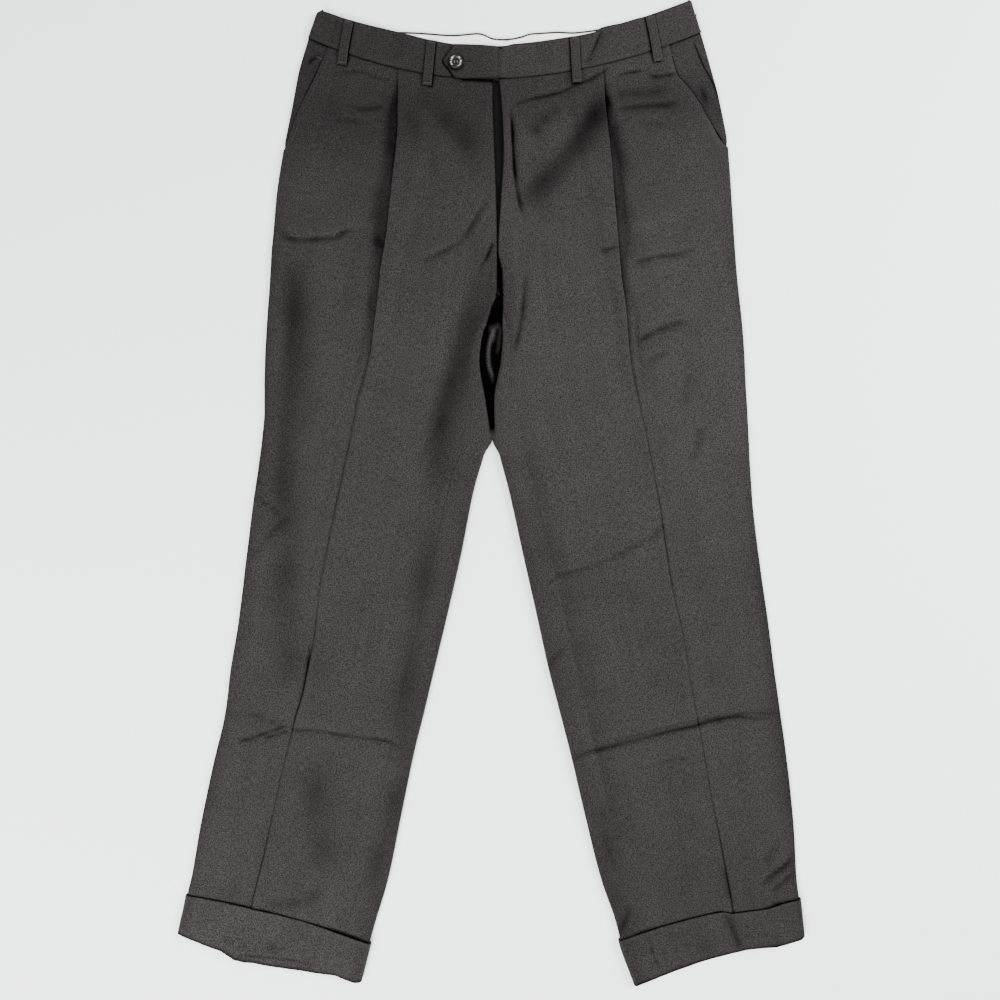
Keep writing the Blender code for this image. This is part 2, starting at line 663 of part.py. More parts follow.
def make_button(tree):
    """A turned button with a rim and four holes, on the tab."""
    x, down = BUTTON_PLACE
    base = height_over(tree, x, -down) + SEAM_GAP
    mesh = bpy.data.meshes.new("button")
    points = [(radius * MM, 0, height * MM) for radius, height in BUTTON_PROFILE]
    mesh.from_pydata(points, [(i, i + 1) for i in range(len(points) - 1)], [])
    button = bpy.data.objects.new("button", mesh)
    button.location = (x * MM, -down * MM, base * MM)
    horn = material_of("button_horn", (0.022, 0.018, 0.017), 0.32)
    adopt(button, horn)
    turned = button.modifiers.new("turned", "SCREW")
    turned.steps = 32
    turned.render_steps = 32
    turned.use_merge_vertices = True
    turned.merge_threshold = 0.00002
    for index in range(4):
        angle = math.radians(45 + 90 * index)
        spread = BUTTON_HOLE_SPREAD * MM
        bpy.ops.mesh.primitive_cylinder_add(
            vertices=12,
            radius=BUTTON_HOLE_RADIUS * MM,
            depth=4 * BUTTON_HEIGHT * MM,
        )
        cutter = bpy.context.object
        cutter.name = f"button_hole_cutter_{index + 1}"
        cutter.location = button.location + Vector(
            (spread * math.cos(angle), spread * math.sin(angle), 0)
        )
        cutter.hide_render = True
        cutter.display_type = "WIRE"
        cutter.parent = bpy.data.objects["trousers"]
        for collection in cutter.users_collection:
            collection.objects.unlink(cutter)
        bpy.data.collections["cutters"].objects.link(cutter)
        hole = button.modifiers.new(f"hole_{index + 1}", "BOOLEAN")
        hole.object = cutter
        hole.operation = "DIFFERENCE"
    return button


# ---------------------------------------------------------------- assembly


def clear_scene():
    for obj in list(bpy.data.objects):
        bpy.data.objects.remove(obj, do_unlink=True)
    for name in ("trousers", "cutters"):
        collection = bpy.data.collections.new(name)
        bpy.context.scene.collection.children.link(collection)
    root = bpy.data.objects.new("trousers", None)
    bpy.data.collections["trousers"].objects.link(root)


def stand_on_origin():
    """Moves the empty so that the middle of the trousers' underside is the origin."""
    graph = bpy.context.evaluated_depsgraph_get()
    corners = []
    for obj in bpy.data.collections["trousers"].objects:
        if obj.type == "EMPTY":
            continue
        evaluated = obj.evaluated_get(graph)
        mesh = evaluated.to_mesh()
        points = np.array([evaluated.matrix_world @ vertex.co for vertex in mesh.vertices])
        evaluated.to_mesh_clear()
        corners += [points.min(axis=0), points.max(axis=0)]
    corners = np.array(corners)
    middle = (corners.min(axis=0) + corners.max(axis=0)) / 2
    bpy.data.objects["trousers"].location = (-middle[0], -middle[1], -corners[:, 2].min())
    bpy.context.view_layer.update()


def main():
    clear_scene()
    make_front("front_right", RIGHT, POCKET_RIGHT)
    make_front("front_left", LEFT, POCKET_LEFT)
    make_back("back_right", RIGHT)
    make_back("back_left", LEFT)
    make_pocket_facing("pocket_facing_right", RIGHT, POCKET_RIGHT)
    make_pocket_facing("pocket_facing_left", LEFT, POCKET_LEFT)
    make_cuff("cuff_right", RIGHT)
    make_cuff("cuff_left", LEFT)
    make_waistband("waistband_right", RIGHT, BAND_RIGHT)
    make_waistband("waistband_left", LEFT, BAND_LEFT, TAB_COLUMNS)
    make_waistband_lining()
    make_fly_shield()
    bpy.context.view_layer.update()
    tree = surface_tree(["front_right", "front_left", "waistband_right", "waistband_left"])
    for loop in FRONT_LOOPS:
        make_front_loop(loop, tree)
    for loop in BACK_LOOPS:
        make_back_loop(loop)
    make_button(tree)
    bpy.context.view_layer.update()
    stand_on_origin()


main()
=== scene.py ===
"""Pleated dress trousers laid flat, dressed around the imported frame.

The tables are in millimetres, as a pattern cutter measures: sections outwards from
the centre front and down from the waist seam, folds and edges in the frame's own X
and Y. A section is a straight cut across one side. The mid-line of the cloth is
worked out on every section at once, the sections make a grid, and Solidify gives the
grid the thickness of the cloth.
"""

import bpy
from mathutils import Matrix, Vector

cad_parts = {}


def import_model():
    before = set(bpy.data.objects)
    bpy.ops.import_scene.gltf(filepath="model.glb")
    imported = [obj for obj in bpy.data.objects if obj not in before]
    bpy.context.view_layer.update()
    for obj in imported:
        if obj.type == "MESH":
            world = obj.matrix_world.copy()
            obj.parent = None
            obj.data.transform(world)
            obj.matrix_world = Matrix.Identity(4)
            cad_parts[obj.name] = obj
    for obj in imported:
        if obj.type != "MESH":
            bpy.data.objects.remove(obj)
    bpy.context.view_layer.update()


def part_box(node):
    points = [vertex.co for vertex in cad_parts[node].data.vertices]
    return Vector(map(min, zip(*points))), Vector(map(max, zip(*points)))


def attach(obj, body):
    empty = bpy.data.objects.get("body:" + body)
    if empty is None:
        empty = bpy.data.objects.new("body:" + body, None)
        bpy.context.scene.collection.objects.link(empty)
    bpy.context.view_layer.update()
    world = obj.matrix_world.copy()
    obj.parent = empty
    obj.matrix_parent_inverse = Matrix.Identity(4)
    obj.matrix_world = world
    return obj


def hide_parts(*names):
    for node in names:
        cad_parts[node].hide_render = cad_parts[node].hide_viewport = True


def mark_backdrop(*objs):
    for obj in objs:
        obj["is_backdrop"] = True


bl_info = {
    "name": "Pleated Dress Trousers",
    "version": (1, 0, 0),
    "blender": (4, 5, 0),
    "location": "3D View > Sidebar > Trousers",
    "description": "Charcoal wool trousers laid flat, with pleats, turn-ups and a buttoned tab",
    "category": "Add Mesh",
}

from collections import namedtuple

import bpy
import numpy as np

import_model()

MM = 0.001
RIGHT = -1
LEFT = 1
WORD = {RIGHT: "right", LEFT: "left"}

# The centre front and the waist seam in the frame's X and Y, from two nodes that stand on them
CENTRE_X = sum(corner.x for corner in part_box("belt_loop_back_centre")) / 2 / MM
WAIST_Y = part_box("fly_shield")[1].y / MM + 1.0

# Heights of the mid-lines over the surface
FLOOR_Z = 0.4
BAND_FRONT_Z = 5.8
BAND_BACK_Z = 2.2
TAB_Z = 7.8
LINING_Z = 3.8
FLY_SHIELD_Z = 2.4

ROLL_LENGTH = 28.0
PLEAT_SHOULDER = 12.0
PLEAT_CLEARANCE = 2.6
PLEAT_LEVEL = 0.6
LEG_END_SHARE = 0.86
BAND_HEIGHT = 36
TURN_UP_HEIGHT = 42

# Where each section starts and ends on the right and on the left, how far its middle
# bows down, and the share of its width at which the pleat and the pressed crease stand
PLAN = {
    "waist": ((4.9, 0, 206, -45, 12, 0.509), (2.2, 0, 222.4, -51, 10.5, 0.512)),
    "pocket": ((4.4, 35, 216, -11, 11, 0.488), (5.5, 35, 233, -15, 10, 0.492)),
    "high_hip": ((2.9, 76, 223.5, 28, 9, 0.479), (7.3, 76, 243, 23, 9, 0.484)),
    "hip": ((1.1, 125, 233, 76, 7, 0.485), (4.4, 129, 252, 73, 7, 0.491)),
    "seat": ((0, 180, 241, 129, 5, 0.494), (1.4, 180, 255.6, 123, 5, 0.506)),
    "rise_end": ((-0.4, 227, 245, 176, 4, 0.515), (1.1, 227, 258.7, 170, 4, 0.515)),
    "crotch": ((-0.5, 237, 246, 185, 4, 0.518), (1.2, 237, 259.4, 180, 4, 0.517)),
    "valley_top": ((15, 278, 248.5, 229, 3, 0.5), (5.8, 278, 262.7, 222, 3, 0.522)),
    "valley": ((18.5, 307, 250.7, 257, 2, 0.502), (3.6, 307, 266, 251, 2, 0.528)),
    "valley_low": ((12, 351, 253, 299, 1, 0.543), (-3.7, 351, 269.8, 295, 1, 0.55)),
    "fork": ((7.6, 386, 254, 334, 0, 0.584), (-2.7, 387, 271.4, 331, 0, 0.571)),
    "leg_top": ((14, 409, 254, 360, 0, 0.592), (2.7, 410, 273, 356, 0, 0.58)),
    "thigh": ((25, 447, 256.7, 392, 0, 0.597), (12.5, 447, 274.7, 392, 0, 0.588)),
    "mid_thigh": ((38.7, 516, 266.5, 463, 0, 0.612), (27.8, 516, 279, 461, 0, 0.601)),
    "low_thigh": ((53.4, 581, 274.7, 529, 0, 0.621), (42.5, 581, 286.7, 526, 0, 0.598)),
    "over_knee": ((68.7, 645, 283, 595, 0, 0.608), (56.7, 645, 296, 591, 0, 0.61)),
    "knee": ((79.6, 691, 291, 643, 0, 0.61), (68.7, 691, 302, 638, 0, 0.605)),
    "under_knee": ((89.4, 730, 296.5, 689, 0, 0.634), (80.7, 738, 308.5, 685, 0, 0.607)),
    "calf": ((103.6, 798, 310, 747, 0, 0.641), (94.8, 798, 317, 747, 0, 0.608)),
    "shin": ((118.8, 872, 325, 820, -2, 0.642), (113.4, 872, 324.3, 820, -1, 0.617)),
    "over_cuff": ((133, 920, 333, 868, -5, 0.645), (129, 917, 327, 873, -5, 0.62)),
    "cuff_mouth": ((138, 938, 337, 886, -5, 0.645), (133.4, 935, 328.8, 891, -7, 0.62)),
    "cuff_top": ((138.5, 940, 337.3, 888, -5, 0.645), (133.7, 937, 329.1, 893, -7, 0.62)),
    "hem": ((149, 982, 346.3, 930, 9, 0.645), (151, 985, 333.5, 933, -3, 0.633)),
}

# The form of each section on both sides: depth of the pleat, angle of its two folds
# and their radius, height of the roll along the inner edge, height of the front
# inside and outside the pleat, where the inseam and the outseam lie, and the height
# of the back
FORM = {
    "waist": (28, 180, 0.8, 5.0, 5.0, 4.6, 0, 7, 1.4),
    "pocket": (26, 180, 0.8, 4.6, 4.6, 4.6, 0, 7, FLOOR_Z),
    "high_hip": (22, 180, 0.8, 4.6, 4.6, 4.6, 0, 8, FLOOR_Z),
    "hip": (16, 180, 0.8, 4.8, 4.8, 4.6, 0, 10, FLOOR_Z),
    "seat": (9, 180, 0.8, 5.2, 5.2, 4.6, 0, 14, FLOOR_Z),
    "rise_end": (4, 180, 0.8, 5.4, 5.4, 4.6, 0, 17, FLOOR_Z),
    "crotch": (3, 165, 0.8, 5.4, 5.4, 4.6, 2.8, 18, FLOOR_Z),
    "valley_top": (2.2, 110, 0.9, 8.0, 5.0, 4.6, 7, 20, FLOOR_Z),
    "valley": (2.0, 75, 1.0, 8.6, 4.8, 4.4, 11, 22, FLOOR_Z),
    "valley_low": (2.0, 50, 1.2, 8.8, 4.6, 4.2, 18, 25, FLOOR_Z),
    "fork": (2.0, 42, 1.3, 8.4, 4.4, 4.0, 23, 28, FLOOR_Z),
    "leg_top": (1.9, 40, 1.3, 8.0, 4.2, 4.0, 26, 30, FLOOR_Z),
    "thigh": (1.8, 40, 1.3, 7.6, 4.0, 4.0, 28, 32, FLOOR_Z),
    "mid_thigh": (1.8, 40, 1.3, 7.0, 3.8, 3.8, 30, 33, FLOOR_Z),
    "low_thigh": (2.0, 44, 1.3, 6.4, 3.6, 3.6, 30, 33, FLOOR_Z),
    "over_knee": (2.4, 50, 1.3, 6.0, 3.6, 3.4, 30, 33, FLOOR_Z),
    "knee": (2.4, 50, 1.3, 6.0, 3.8, 3.4, 29, 33, FLOOR_Z),
    "under_knee": (1.8, 42, 1.3, 6.4, 4.2, 3.8, 27, 33, FLOOR_Z),
    "calf": (1.8, 38, 1.3, 5.6, 3.6, 3.6, 27, 33, FLOOR_Z),
    "shin": (1.8, 34, 1.3, 5.2, 3.6, 3.6, 28, 32, FLOOR_Z),
    "over_cuff": (1.8, 32, 1.3, 5.4, 4.4, 4.4, 29, 31, FLOOR_Z),
    "cuff_mouth": (1.8, 30, 1.3, 6.2, 5.2, 5.2, 30, 30, 2.1),
    "cuff_top": (1.8, 30, 1.3, 6.2, 5.2, 5.2, 30, 30, 2.1),
    "hem": (1.8, 30, 1.3, 6.2, 5.4, 5.2, 30, 30, 2.1),
}
COLUMN_NAMES = (
    "in_x in_down out_x out_down bow crease "
    "pleat turn nose roll in_z out_z inseam outseam floor"
).split()

# Spacing of the sections by distance down from the waist, as a share of the full spacing
FINENESS = (
    (0, 5, 12, 40, 120, 260, 400, 640, 690, 760, 790, 900, 940, 952, 975, 990),
    (0.25, 0.35, 0.55, 0.70, 0.75, 0.95, 1.25, 1.15, 0.52, 0.52, 1.15, 1.1, 0.6, 0.28, 0.4, 1.0),
)

# The slanted pocket edge: distance down of its side and how far inside the outer edge it lies
POCKET = {
    RIGHT: (
        (-45, 23.0), (-11, 18.5), (28, 9.0), (76, 2.0),
    ),
    LEFT: (
        (-51, 35.5), (-28, 37.0), (-16, 36.0), (-10, 33.0), (3, 27.5), (18, 22.0), (37, 16.3), (53, 11.6),
        (64, 7.4), (73, 2.2),
    ),
}

# The seat seam: distances down, and how far left of the centre it lies there
SEAT_SEAM = ((0, 200, 237, 278, 307, 351, 386), (0, 0, 0.8, -5.5, -7.6, -7.6, -5.1))

# Edges of the waistband: inner end, outer end and bow, like the sections
BAND = {
    RIGHT: {
        "front_seam": (0, -0.3, 206, -45.3, 12),
        "front_top": (0, -36, 196, -75, 6.5),
        "back_seam": (0.15, -9.9, 206, -45.9, 12),
        "back_top": (0.15, -45, 196, -75, 10),
    },
    LEFT: {
        "front_seam": (0, -0.3, 222.4, -51.3, 10.5),
        "front_top": (0, -36, 212, -85, 9),
        "back_seam": (0.15, -9.9, 222.4, -51.9, 10.5),
        "back_top": (0.15, -45, 212, -85, 10),
    },
}

# The waistband's top edges: X from the centre front, and how far each edge stands above
# or below its plan there
BACK_EDGE = (
    (-196, -150, -114, -102, -94, -84, -73, -51, -40, -29, -21, -14, -7, -2, 4, 10, 25, 38, 63, 85, 113,
     160, 212),
    (0, 0, 0.2, 1.9, 2.8, 3.7, 4.1, 4.3, 5.2, 6.5, 7.0, 5.3, 1.8, 0.4, -0.1, -0.1, 1.8, 4.9, 4.3, 0.9,
     -0.3, 0, 0),
)
FRONT_EDGE = (
    (-196, -187, -160, -127, -113, -102, -84, -62, -46, -20, 0, 8, 19, 36, 69, 90, 106, 114, 124, 135, 150,
     161, 185, 212),
    (-0.6, 0.5, -0.5, -0.2, -0.3, -0.6, -1.9, -2.9, -3.2, -3.1, -2.1, -1.6, 0.2, -0.1, -0.4, -1.0, -1.1,
     2.0, 1.9, 1.2, 1.4, 0.7, 1.0, 1.0),
)

# How much the top corner at the side is rounded
BAND_CORNER = {RIGHT: 5.0, LEFT: 2.0}

# The tab: x and distance down of its lower edge, middle and upper edge
TAB_POINT = ((-43.5, 0.9), (-60.2, -18), (-47, -36.4))
TAB_ROOT = ((-18, 0), (-18, -18), (-18, -35.4))

# Belt loops: x and distance down of the top and of the foot
Loop = namedtuple("Loop", "name top_x top_down foot_x foot_down")
FRONT_LOOPS = (
    Loop("belt_loop_front_right_side", -160.5, -62.5, -169, -15),
    Loop("belt_loop_front_right", -71.3, -40.5, -76, 9),
    Loop("belt_loop_front_left", 84, -44.8, 86.8, 6),
    Loop("belt_loop_front_left_side", 166, -67, 175.5, -19),
)
BACK_LOOPS = (
    Loop("belt_loop_back_right", -112, -50.5, -115, -21.5),
    Loop("belt_loop_back_centre", 0, -43, 0, -11.5),
    Loop("belt_loop_back_left", 118, -55.5, 122, -26.5),
)
LOOP_WIDTH = 10.0
LOOP_LIFT = 0.8

# Shares of the leg's width, and how far the hem stands below its plan there
HEM = {
    RIGHT: (
        (0, 0.03, 0.134, 0.37, 0.59, 0.69, 0.77, 0.90, 1),
        (-0.2, 0.6, -4.7, -3.1, 0.4, 4.3, -0.5, -0.2, -0.2),
    ),
    LEFT: (
        (0, 0.146, 0.385, 0.636, 0.76, 0.84, 0.88, 0.98, 1.01),
        (1.2, -0.3, -2.4, -1.9, 1.5, 4.7, 3.9, 2.2, -0.9),
    ),
}

# Which part of a front a fold lies on: all of it, or one side of the pleat
ALL, INNER, OUTER = 0, 1, 2

# A fold: half its width, how far it stands up or sinks, how much wider it is on the left
# of its run than on the right, its part, and the points of its line
Fold = namedtuple("Fold", "name width depth lean part line")

# A shade painted along a line: where cloth lies close against cloth, in a crease, or
# broad and soft over a stretch; with a negative depth it is a painted light. Half its
# width, its depth, the share of its line over which it fades in and out, and the points
# of its line
Shadow = namedtuple("Shadow", "width depth fade line")


def as_folds(*rows):
    return [Fold(*row[:5], row[5:]) for row in rows]


def as_shadows(*rows):
    return [Shadow(*row[:3], row[3:]) for row in rows]


RIGHT_FOLDS = as_folds(
    ("outer trough", 15, -2.6, 0.25, ALL, (-217, 280), (-216, 232), (-217, 178), (-221, 123), (-226, 58),
     (-228, 3), (-227, -40), (-226, -73)),
    ("outer trough, lower", 17, -1.5, 0, OUTER, (-227, -8), (-225, -62), (-226, -116), (-222, -160),
     (-218, -204), (-214, -231)),
    ("hip fold", 4.2, -1.61, -0.3, OUTER, (-233, 289), (-221, 278), (-208, 276), (-189, 277), (-172, 278),
     (-158, 285), (-139, 287)),
    ("hip fold's lip", 6, 1.1, 0, OUTER, (-226, 291), (-205, 287), (-187, 288), (-167, 291), (-143, 299)),
    ("hollow beside the pleat", 8.5, -0.8, -0.35, OUTER, (-105, 442), (-109, 423), (-111, 401),
     (-112, 374), (-115, 358)),
    ("hollow beside the pleat below", 9, -0.8, -0.3, OUTER, (-115, 341), (-120, 314), (-123, 287),
     (-128, 252)),
    ("hollow beside the pleat's end", 5, -0.6, -0.2, OUTER, (-129, 232), (-134, 189), (-141, 151),
     (-146, 118)),
    ("pit in the hip fold", 6, -0.5, 0, OUTER, (-130, 280), (-122, 272), (-117, 265)),
    ("fold from the waist to the fly", 14, -1.6, 0.2, INNER, (-84, 442), (-73, 428), (-56, 414),
     (-38, 394), (-21, 372), (-3, 352)),
    ("its shoulder", 16, 1.2, 0, INNER, (-95, 396), (-67, 358), (-43, 330), (-16, 314)),
    ("second fold to the fly", 9, -0.8, 0, INNER, (-98, 433), (-88, 409), (-73, 376), (-56, 339),
     (-43, 320)),
    ("line under the waist", 3.5, -0.8, 0, OUTER, (-172, 457), (-146, 458), (-123, 452), (-103, 446)),
    ("pull at the pleat top", 4.5, -1.2, 0.2, OUTER, (-160, 424), (-143, 417), (-128, 418), (-112, 421)),
    ("pull at the pleat top, upper", 4.5, -0.8, 0, OUTER, (-176, 409), (-167, 405), (-152, 405),
     (-136, 400)),
    ("inner fold at the crotch", 4.5, -1.3, -0.3, INNER, (-86, 250), (-69, 255), (-52, 263), (-32, 276),
     (-15, 302), (-1, 324)),
    ("its lip", 6.5, 1.1, 0, INNER, (-78, 263), (-56, 270), (-34, 277), (-19, 285)),
    ("fold at the fly's foot", 3.2, 1.2, 0.2, INNER, (-19, 280), (-9, 299), (2, 316)),
    ("dart at the crotch", 3.4, -1.2, 0, INNER, (3, 276), (-2, 263), (-6, 248)),
    ("inner thigh trough", 17, -2.7, 0.2, INNER, (-9, 260), (-15, 221), (-25, 191), (-35, 154), (-43, 118),
     (-54, 85), (-58, 47), (-60, 3), (-66, -40)),
    ("inner thigh bulge", 17, 1.5, 0, INNER, (-39, 243), (-56, 200), (-69, 156), (-81, 102), (-88, 58)),
    ("thigh line", 5, -0.35, 0, INNER, (-48, 96), (-58, 71), (-73, 45), (-86, 25)),
    ("crossing fold", 3.4, -0.9, 0.3, OUTER, (-256, -2), (-248, -11), (-240, -17), (-230, -27)),
    ("crossing fold below", 4.6, -0.55, -0.3, OUTER, (-265, -73), (-248, -53), (-231, -35), (-217, -26),
     (-208, -23)),
    ("its lip", 7, 0.9, 0, OUTER, (-263, -89), (-243, -69), (-226, -49), (-208, -37)),
    ("crevice beside the crease", 2.8, -1.2, -0.3, OUTER, (-196, -160), (-201, -195), (-205, -219),
     (-211, -241), (-217, -259)),
    ("knee fold", 5, -0.53, 0.3, OUTER, (-293, -237), (-276, -242), (-257, -244), (-238, -251),
     (-217, -257)),
    ("knee fold below", 3.4, -1.2, 0.3, OUTER, (-282, -273), (-267, -270), (-250, -264), (-232, -258),
     (-217, -252)),
    ("knee fold between", 3.2, -1.1, 0, OUTER, (-250, -269), (-234, -264), (-218, -259)),
    ("knee fold's lip", 7, 1, 0, OUTER, (-287, -256), (-267, -256), (-250, -254)),
    ("knee line", 3.6, -1.05, 0.35, INNER, (-238, -256), (-216, -259), (-189, -260), (-163, -265),
     (-137, -268), (-115, -271), (-97, -278), (-82, -279)),
    ("knee line's lip", 8, 0.8, 0, INNER, (-208, -248), (-165, -253), (-130, -257), (-95, -267)),
    ("calf trough", 16.5, -1.54, 0.2, INNER, (-195, -282), (-193, -324), (-189, -367), (-184, -402),
     (-185, -426)),
    ("calf trough's hook", 7.5, -1, 0, INNER, (-250, -446), (-228, -448), (-206, -445), (-191, -436),
     (-184, -420)),
    ("inner calf trough", 9, -1.2, 0, INNER, (-102, -307), (-112, -351), (-124, -400), (-136, -443)),
    ("inner knee trough", 13, -1.5, 0, INNER, (-60, 3), (-66, -46), (-73, -89), (-80, -138), (-90, -193),
     (-98, -242), (-103, -302)),
    ("outer calf swell", 16, 1, 0, OUTER, (-267, -296), (-282, -356), (-293, -411)),
    ("shin ripple", 8, -0.7, 0, INNER, (-243, -334), (-250, -378), (-256, -422)),
)
LEFT_FOLDS = as_folds(
    ("broad fold from the pleat", 14, -3.4, 0.25, INNER, (124, 446), (119, 428), (110, 410), (98, 391),
     (84, 372), (70, 354), (54, 338), (40, 322), (30, 306)),
    ("its upper shoulder", 9, 1, 0, INNER, (100, 431), (81, 415), (62, 398), (47, 378)),
    ("fold above it", 9, -1.4, 0, INNER, (78, 424), (64, 412), (51, 398), (40, 383)),
    ("its lower shoulder", 15, 1.4, 0, INNER, (114, 374), (95, 350), (75, 328), (59, 303)),
    ("waist wrinkle", 3.6, -1.1, -0.3, ALL, (22, 420), (34, 426), (53, 431), (75, 436), (91, 442),
     (106, 448), (116, 454), (127, 461), (136, 468)),
    ("waist wrinkle's lip", 6, 0.9, 0, INNER, (36, 417), (59, 420), (77, 425), (97, 435)),
    ("wrinkle beside the loop", 3.4, -1, 0, OUTER, (134, 452), (149, 457), (164, 459)),
    ("wrinkle to the pocket", 3.4, -1.4, -0.3, OUTER, (168, 457), (179, 454), (193, 455), (206, 459)),
    ("soft wrinkle", 7, -1.3, 0, OUTER, (133, 432), (151, 435), (175, 436), (197, 439)),
    ("sharp wrinkle", 4.4, -1.5, -0.3, OUTER, (132, 418), (151, 419), (175, 421), (210, 425)),
    ("sharp wrinkle's lip", 7, 0.9, 0, OUTER, (143, 408), (168, 411), (193, 414)),
    ("faint wrinkle", 5, -0.6, 0, OUTER, (158, 399), (175, 402), (193, 402)),
    ("pit beside the pleat", 4.2, -0.6, 0.2, OUTER, (126, 433), (128, 425), (131, 418)),
    ("hollow beside the pleat", 8.5, -0.9, 0.35, OUTER, (132, 413), (137, 389), (142, 365), (146, 337)),
    ("hollow beside the pleat below", 7.5, -0.8, 0.3, OUTER, (147, 330), (149, 303), (151, 276),
     (155, 245)),
    ("hollow beside the pleat's end", 4.5, -0.6, 0.2, OUTER, (152, 232), (157, 194), (161, 156),
     (167, 118)),
    ("thigh wrinkle", 4.5, -1.4, -0.3, OUTER, (151, 246), (164, 253), (179, 257), (202, 260), (223, 265)),
    ("thigh wrinkle's lip", 8, 0.8, 0, OUTER, (162, 241), (184, 248), (210, 252)),
    ("wrinkle inside the pleat", 3.6, -1.2, 0, INNER, (116, 262), (126, 264), (139, 269)),
    ("lit ridge", 8, 1.3, 0, OUTER, (147, 287), (168, 296), (188, 304), (221, 317)),
    ("slanted wrinkle", 4.6, -1.7, -0.3, OUTER, (156, 160), (168, 170), (182, 178), (197, 183),
     (215, 189)),
    ("slanted wrinkle's lip", 7, 0.9, 0, OUTER, (160, 176), (175, 187), (193, 194)),
    ("slanted wrinkle below", 5, -0.8, 0, OUTER, (166, 136), (179, 147), (193, 154)),
    ("fly stitch trough", 3.8, -1.9, 0.2, INNER, (22, 422), (23, 401), (24, 374), (26, 343), (30, 320),
     (37, 291)),
    ("fly ridge", 4, 1.3, 0, INNER, (14, 439), (16, 407), (17, 374), (16, 336), (13, 303)),
    ("crotch crease", 4, -1.7, 0.3, INNER, (38, 245), (36, 221), (33, 191), (28, 167), (24, 147)),
    ("crotch crease's lip", 7, 0.8, 0, INNER, (46, 241), (43, 211), (38, 178)),
    ("thigh sag", 20, 0.9, 0, INNER, (75, 211), (79, 156), (86, 102), (95, 47)),
    ("thigh trough", 10, -0.7, 0, INNER, (31, 69), (48, 14), (59, -40), (71, -95)),
    ("outer dip", 6, -1, 0, OUTER, (230, 74), (225, 52), (217, 31)),
    ("outer dip above", 5, -0.6, 0, OUTER, (217, 132), (212, 110), (209, 91)),
    ("outer swell", 16, 1, 0, OUTER, (244, 254), (252, 178), (257, 102), (263, 25)),
    ("nick in the crease", 3.4, -0.8, 0.3, INNER, (171, -55), (179, -47), (186, -38), (195, -30)),
    ("nick in the crease below", 4, -0.8, 0, OUTER, (173, -45), (182, -51), (188, -64), (192, -79)),
    ("thigh line", 4, -0.8, -0.3, INNER, (44, -103), (54, -98), (73, -91), (102, -82), (132, -71),
     (162, -54), (175, -46), (186, -37)),
    ("short wrinkle", 3.4, -1, 0, INNER, (60, -193), (65, -186), (73, -176), (82, -166)),
    ("knee line", 3.8, -1.5, 0.35, ALL, (71, -296), (87, -291), (102, -285), (119, -280), (140, -274),
     (168, -267), (195, -260), (223, -254), (245, -248), (268, -245), (290, -247), (326, -243)),
    ("knee line above", 3, -0.6, 0, ALL, (119, -271), (149, -266), (179, -258), (208, -251), (234, -245),
     (258, -243)),
    ("knee line's lip", 8, 0.9, 0, ALL, (102, -272), (140, -265), (173, -257), (210, -247), (241, -236)),
    ("under the knee", 9, 0.7, 0, ALL, (130, -295), (173, -287), (217, -278), (260, -271)),
    ("outer knee wrinkle", 3.4, -0.7, 0, OUTER, (261, -244), (280, -240), (300, -241), (318, -237)),
    ("calf line", 4, -0.6, 0, INNER, (179, -296), (200, -291), (224, -288)),
    ("cuff wrinkle", 4.4, -1.9, -0.3, OUTER, (291, -430), (302, -420), (317, -409), (332, -392)),
    ("cuff wrinkle below", 4, -1.3, 0, OUTER, (304, -435), (319, -424), (334, -409)),
    ("cuff wrinkle above", 6, -0.9, 0, OUTER, (297, -409), (306, -391), (315, -374)),
    ("inner cuff wrinkle", 5, -1.3, 0.2, INNER, (135, -483), (143, -473), (149, -460), (152, -446)),
    ("inner calf trough", 8, -1, 0, INNER, (119, -334), (127, -378), (137, -422)),
    ("outer calf swell", 14, 0.9, 0, OUTER, (282, -302), (295, -367), (304, -411)),
)
FRONT_FOLDS = {RIGHT: RIGHT_FOLDS, LEFT: LEFT_FOLDS}

# Folds of the backs where they lie on the surface: the cloth lifts off it here
BACK_FOLDS = as_folds(
    ("seat fold, right", 9, 0.9, 0.3, ALL, (-196, 268), (-150, 262), (-96, 270), (-52, 262)),
    ("seat fold, left", 8, 0.9, -0.2, ALL, (58, 250), (108, 262), (166, 256), (214, 266)),
    ("seat drag, right", 10, 0.8, 0, ALL, (-24, 214), (-62, 246), (-110, 286)),
    ("seat drag, left", 11, 0.8, 0, ALL, (30, 206), (74, 240), (112, 292)),
    ("thigh fold, right", 8, 0.7, 0.2, ALL, (-228, 120), (-180, 96), (-128, 104)),
    ("thigh fold, left", 9, 0.8, 0, ALL, (96, 92), (160, 72), (232, 88)),
    ("knee fold, right", 6, 0.9, 0.3, ALL, (-262, -232), (-214, -250), (-160, -256), (-104, -262)),
    ("knee fold, left", 6, 0.9, -0.3, ALL, (104, -282), (168, -272), (232, -258), (290, -246)),
    ("second knee fold, right", 5, 0.6, 0, ALL, (-250, -262), (-206, -278), (-166, -284)),
    ("second knee fold, left", 5, 0.6, 0, ALL, (150, -300), (204, -292), (252, -280)),
    ("calf fold, right", 10, 0.7, 0, ALL, (-214, -330), (-204, -372), (-208, -412)),
    ("calf fold, left", 9, 0.7, 0, ALL, (232, -330), (240, -372), (262, -410)),
    ("back crease, right", 3.2, 0.8, 0, ALL, (-124, 150), (-150, 20), (-190, -170), (-246, -420)),
    ("back crease, left", 3.2, 0.8, 0, ALL, (142, 150), (160, 20), (198, -170), (262, -420)),
)
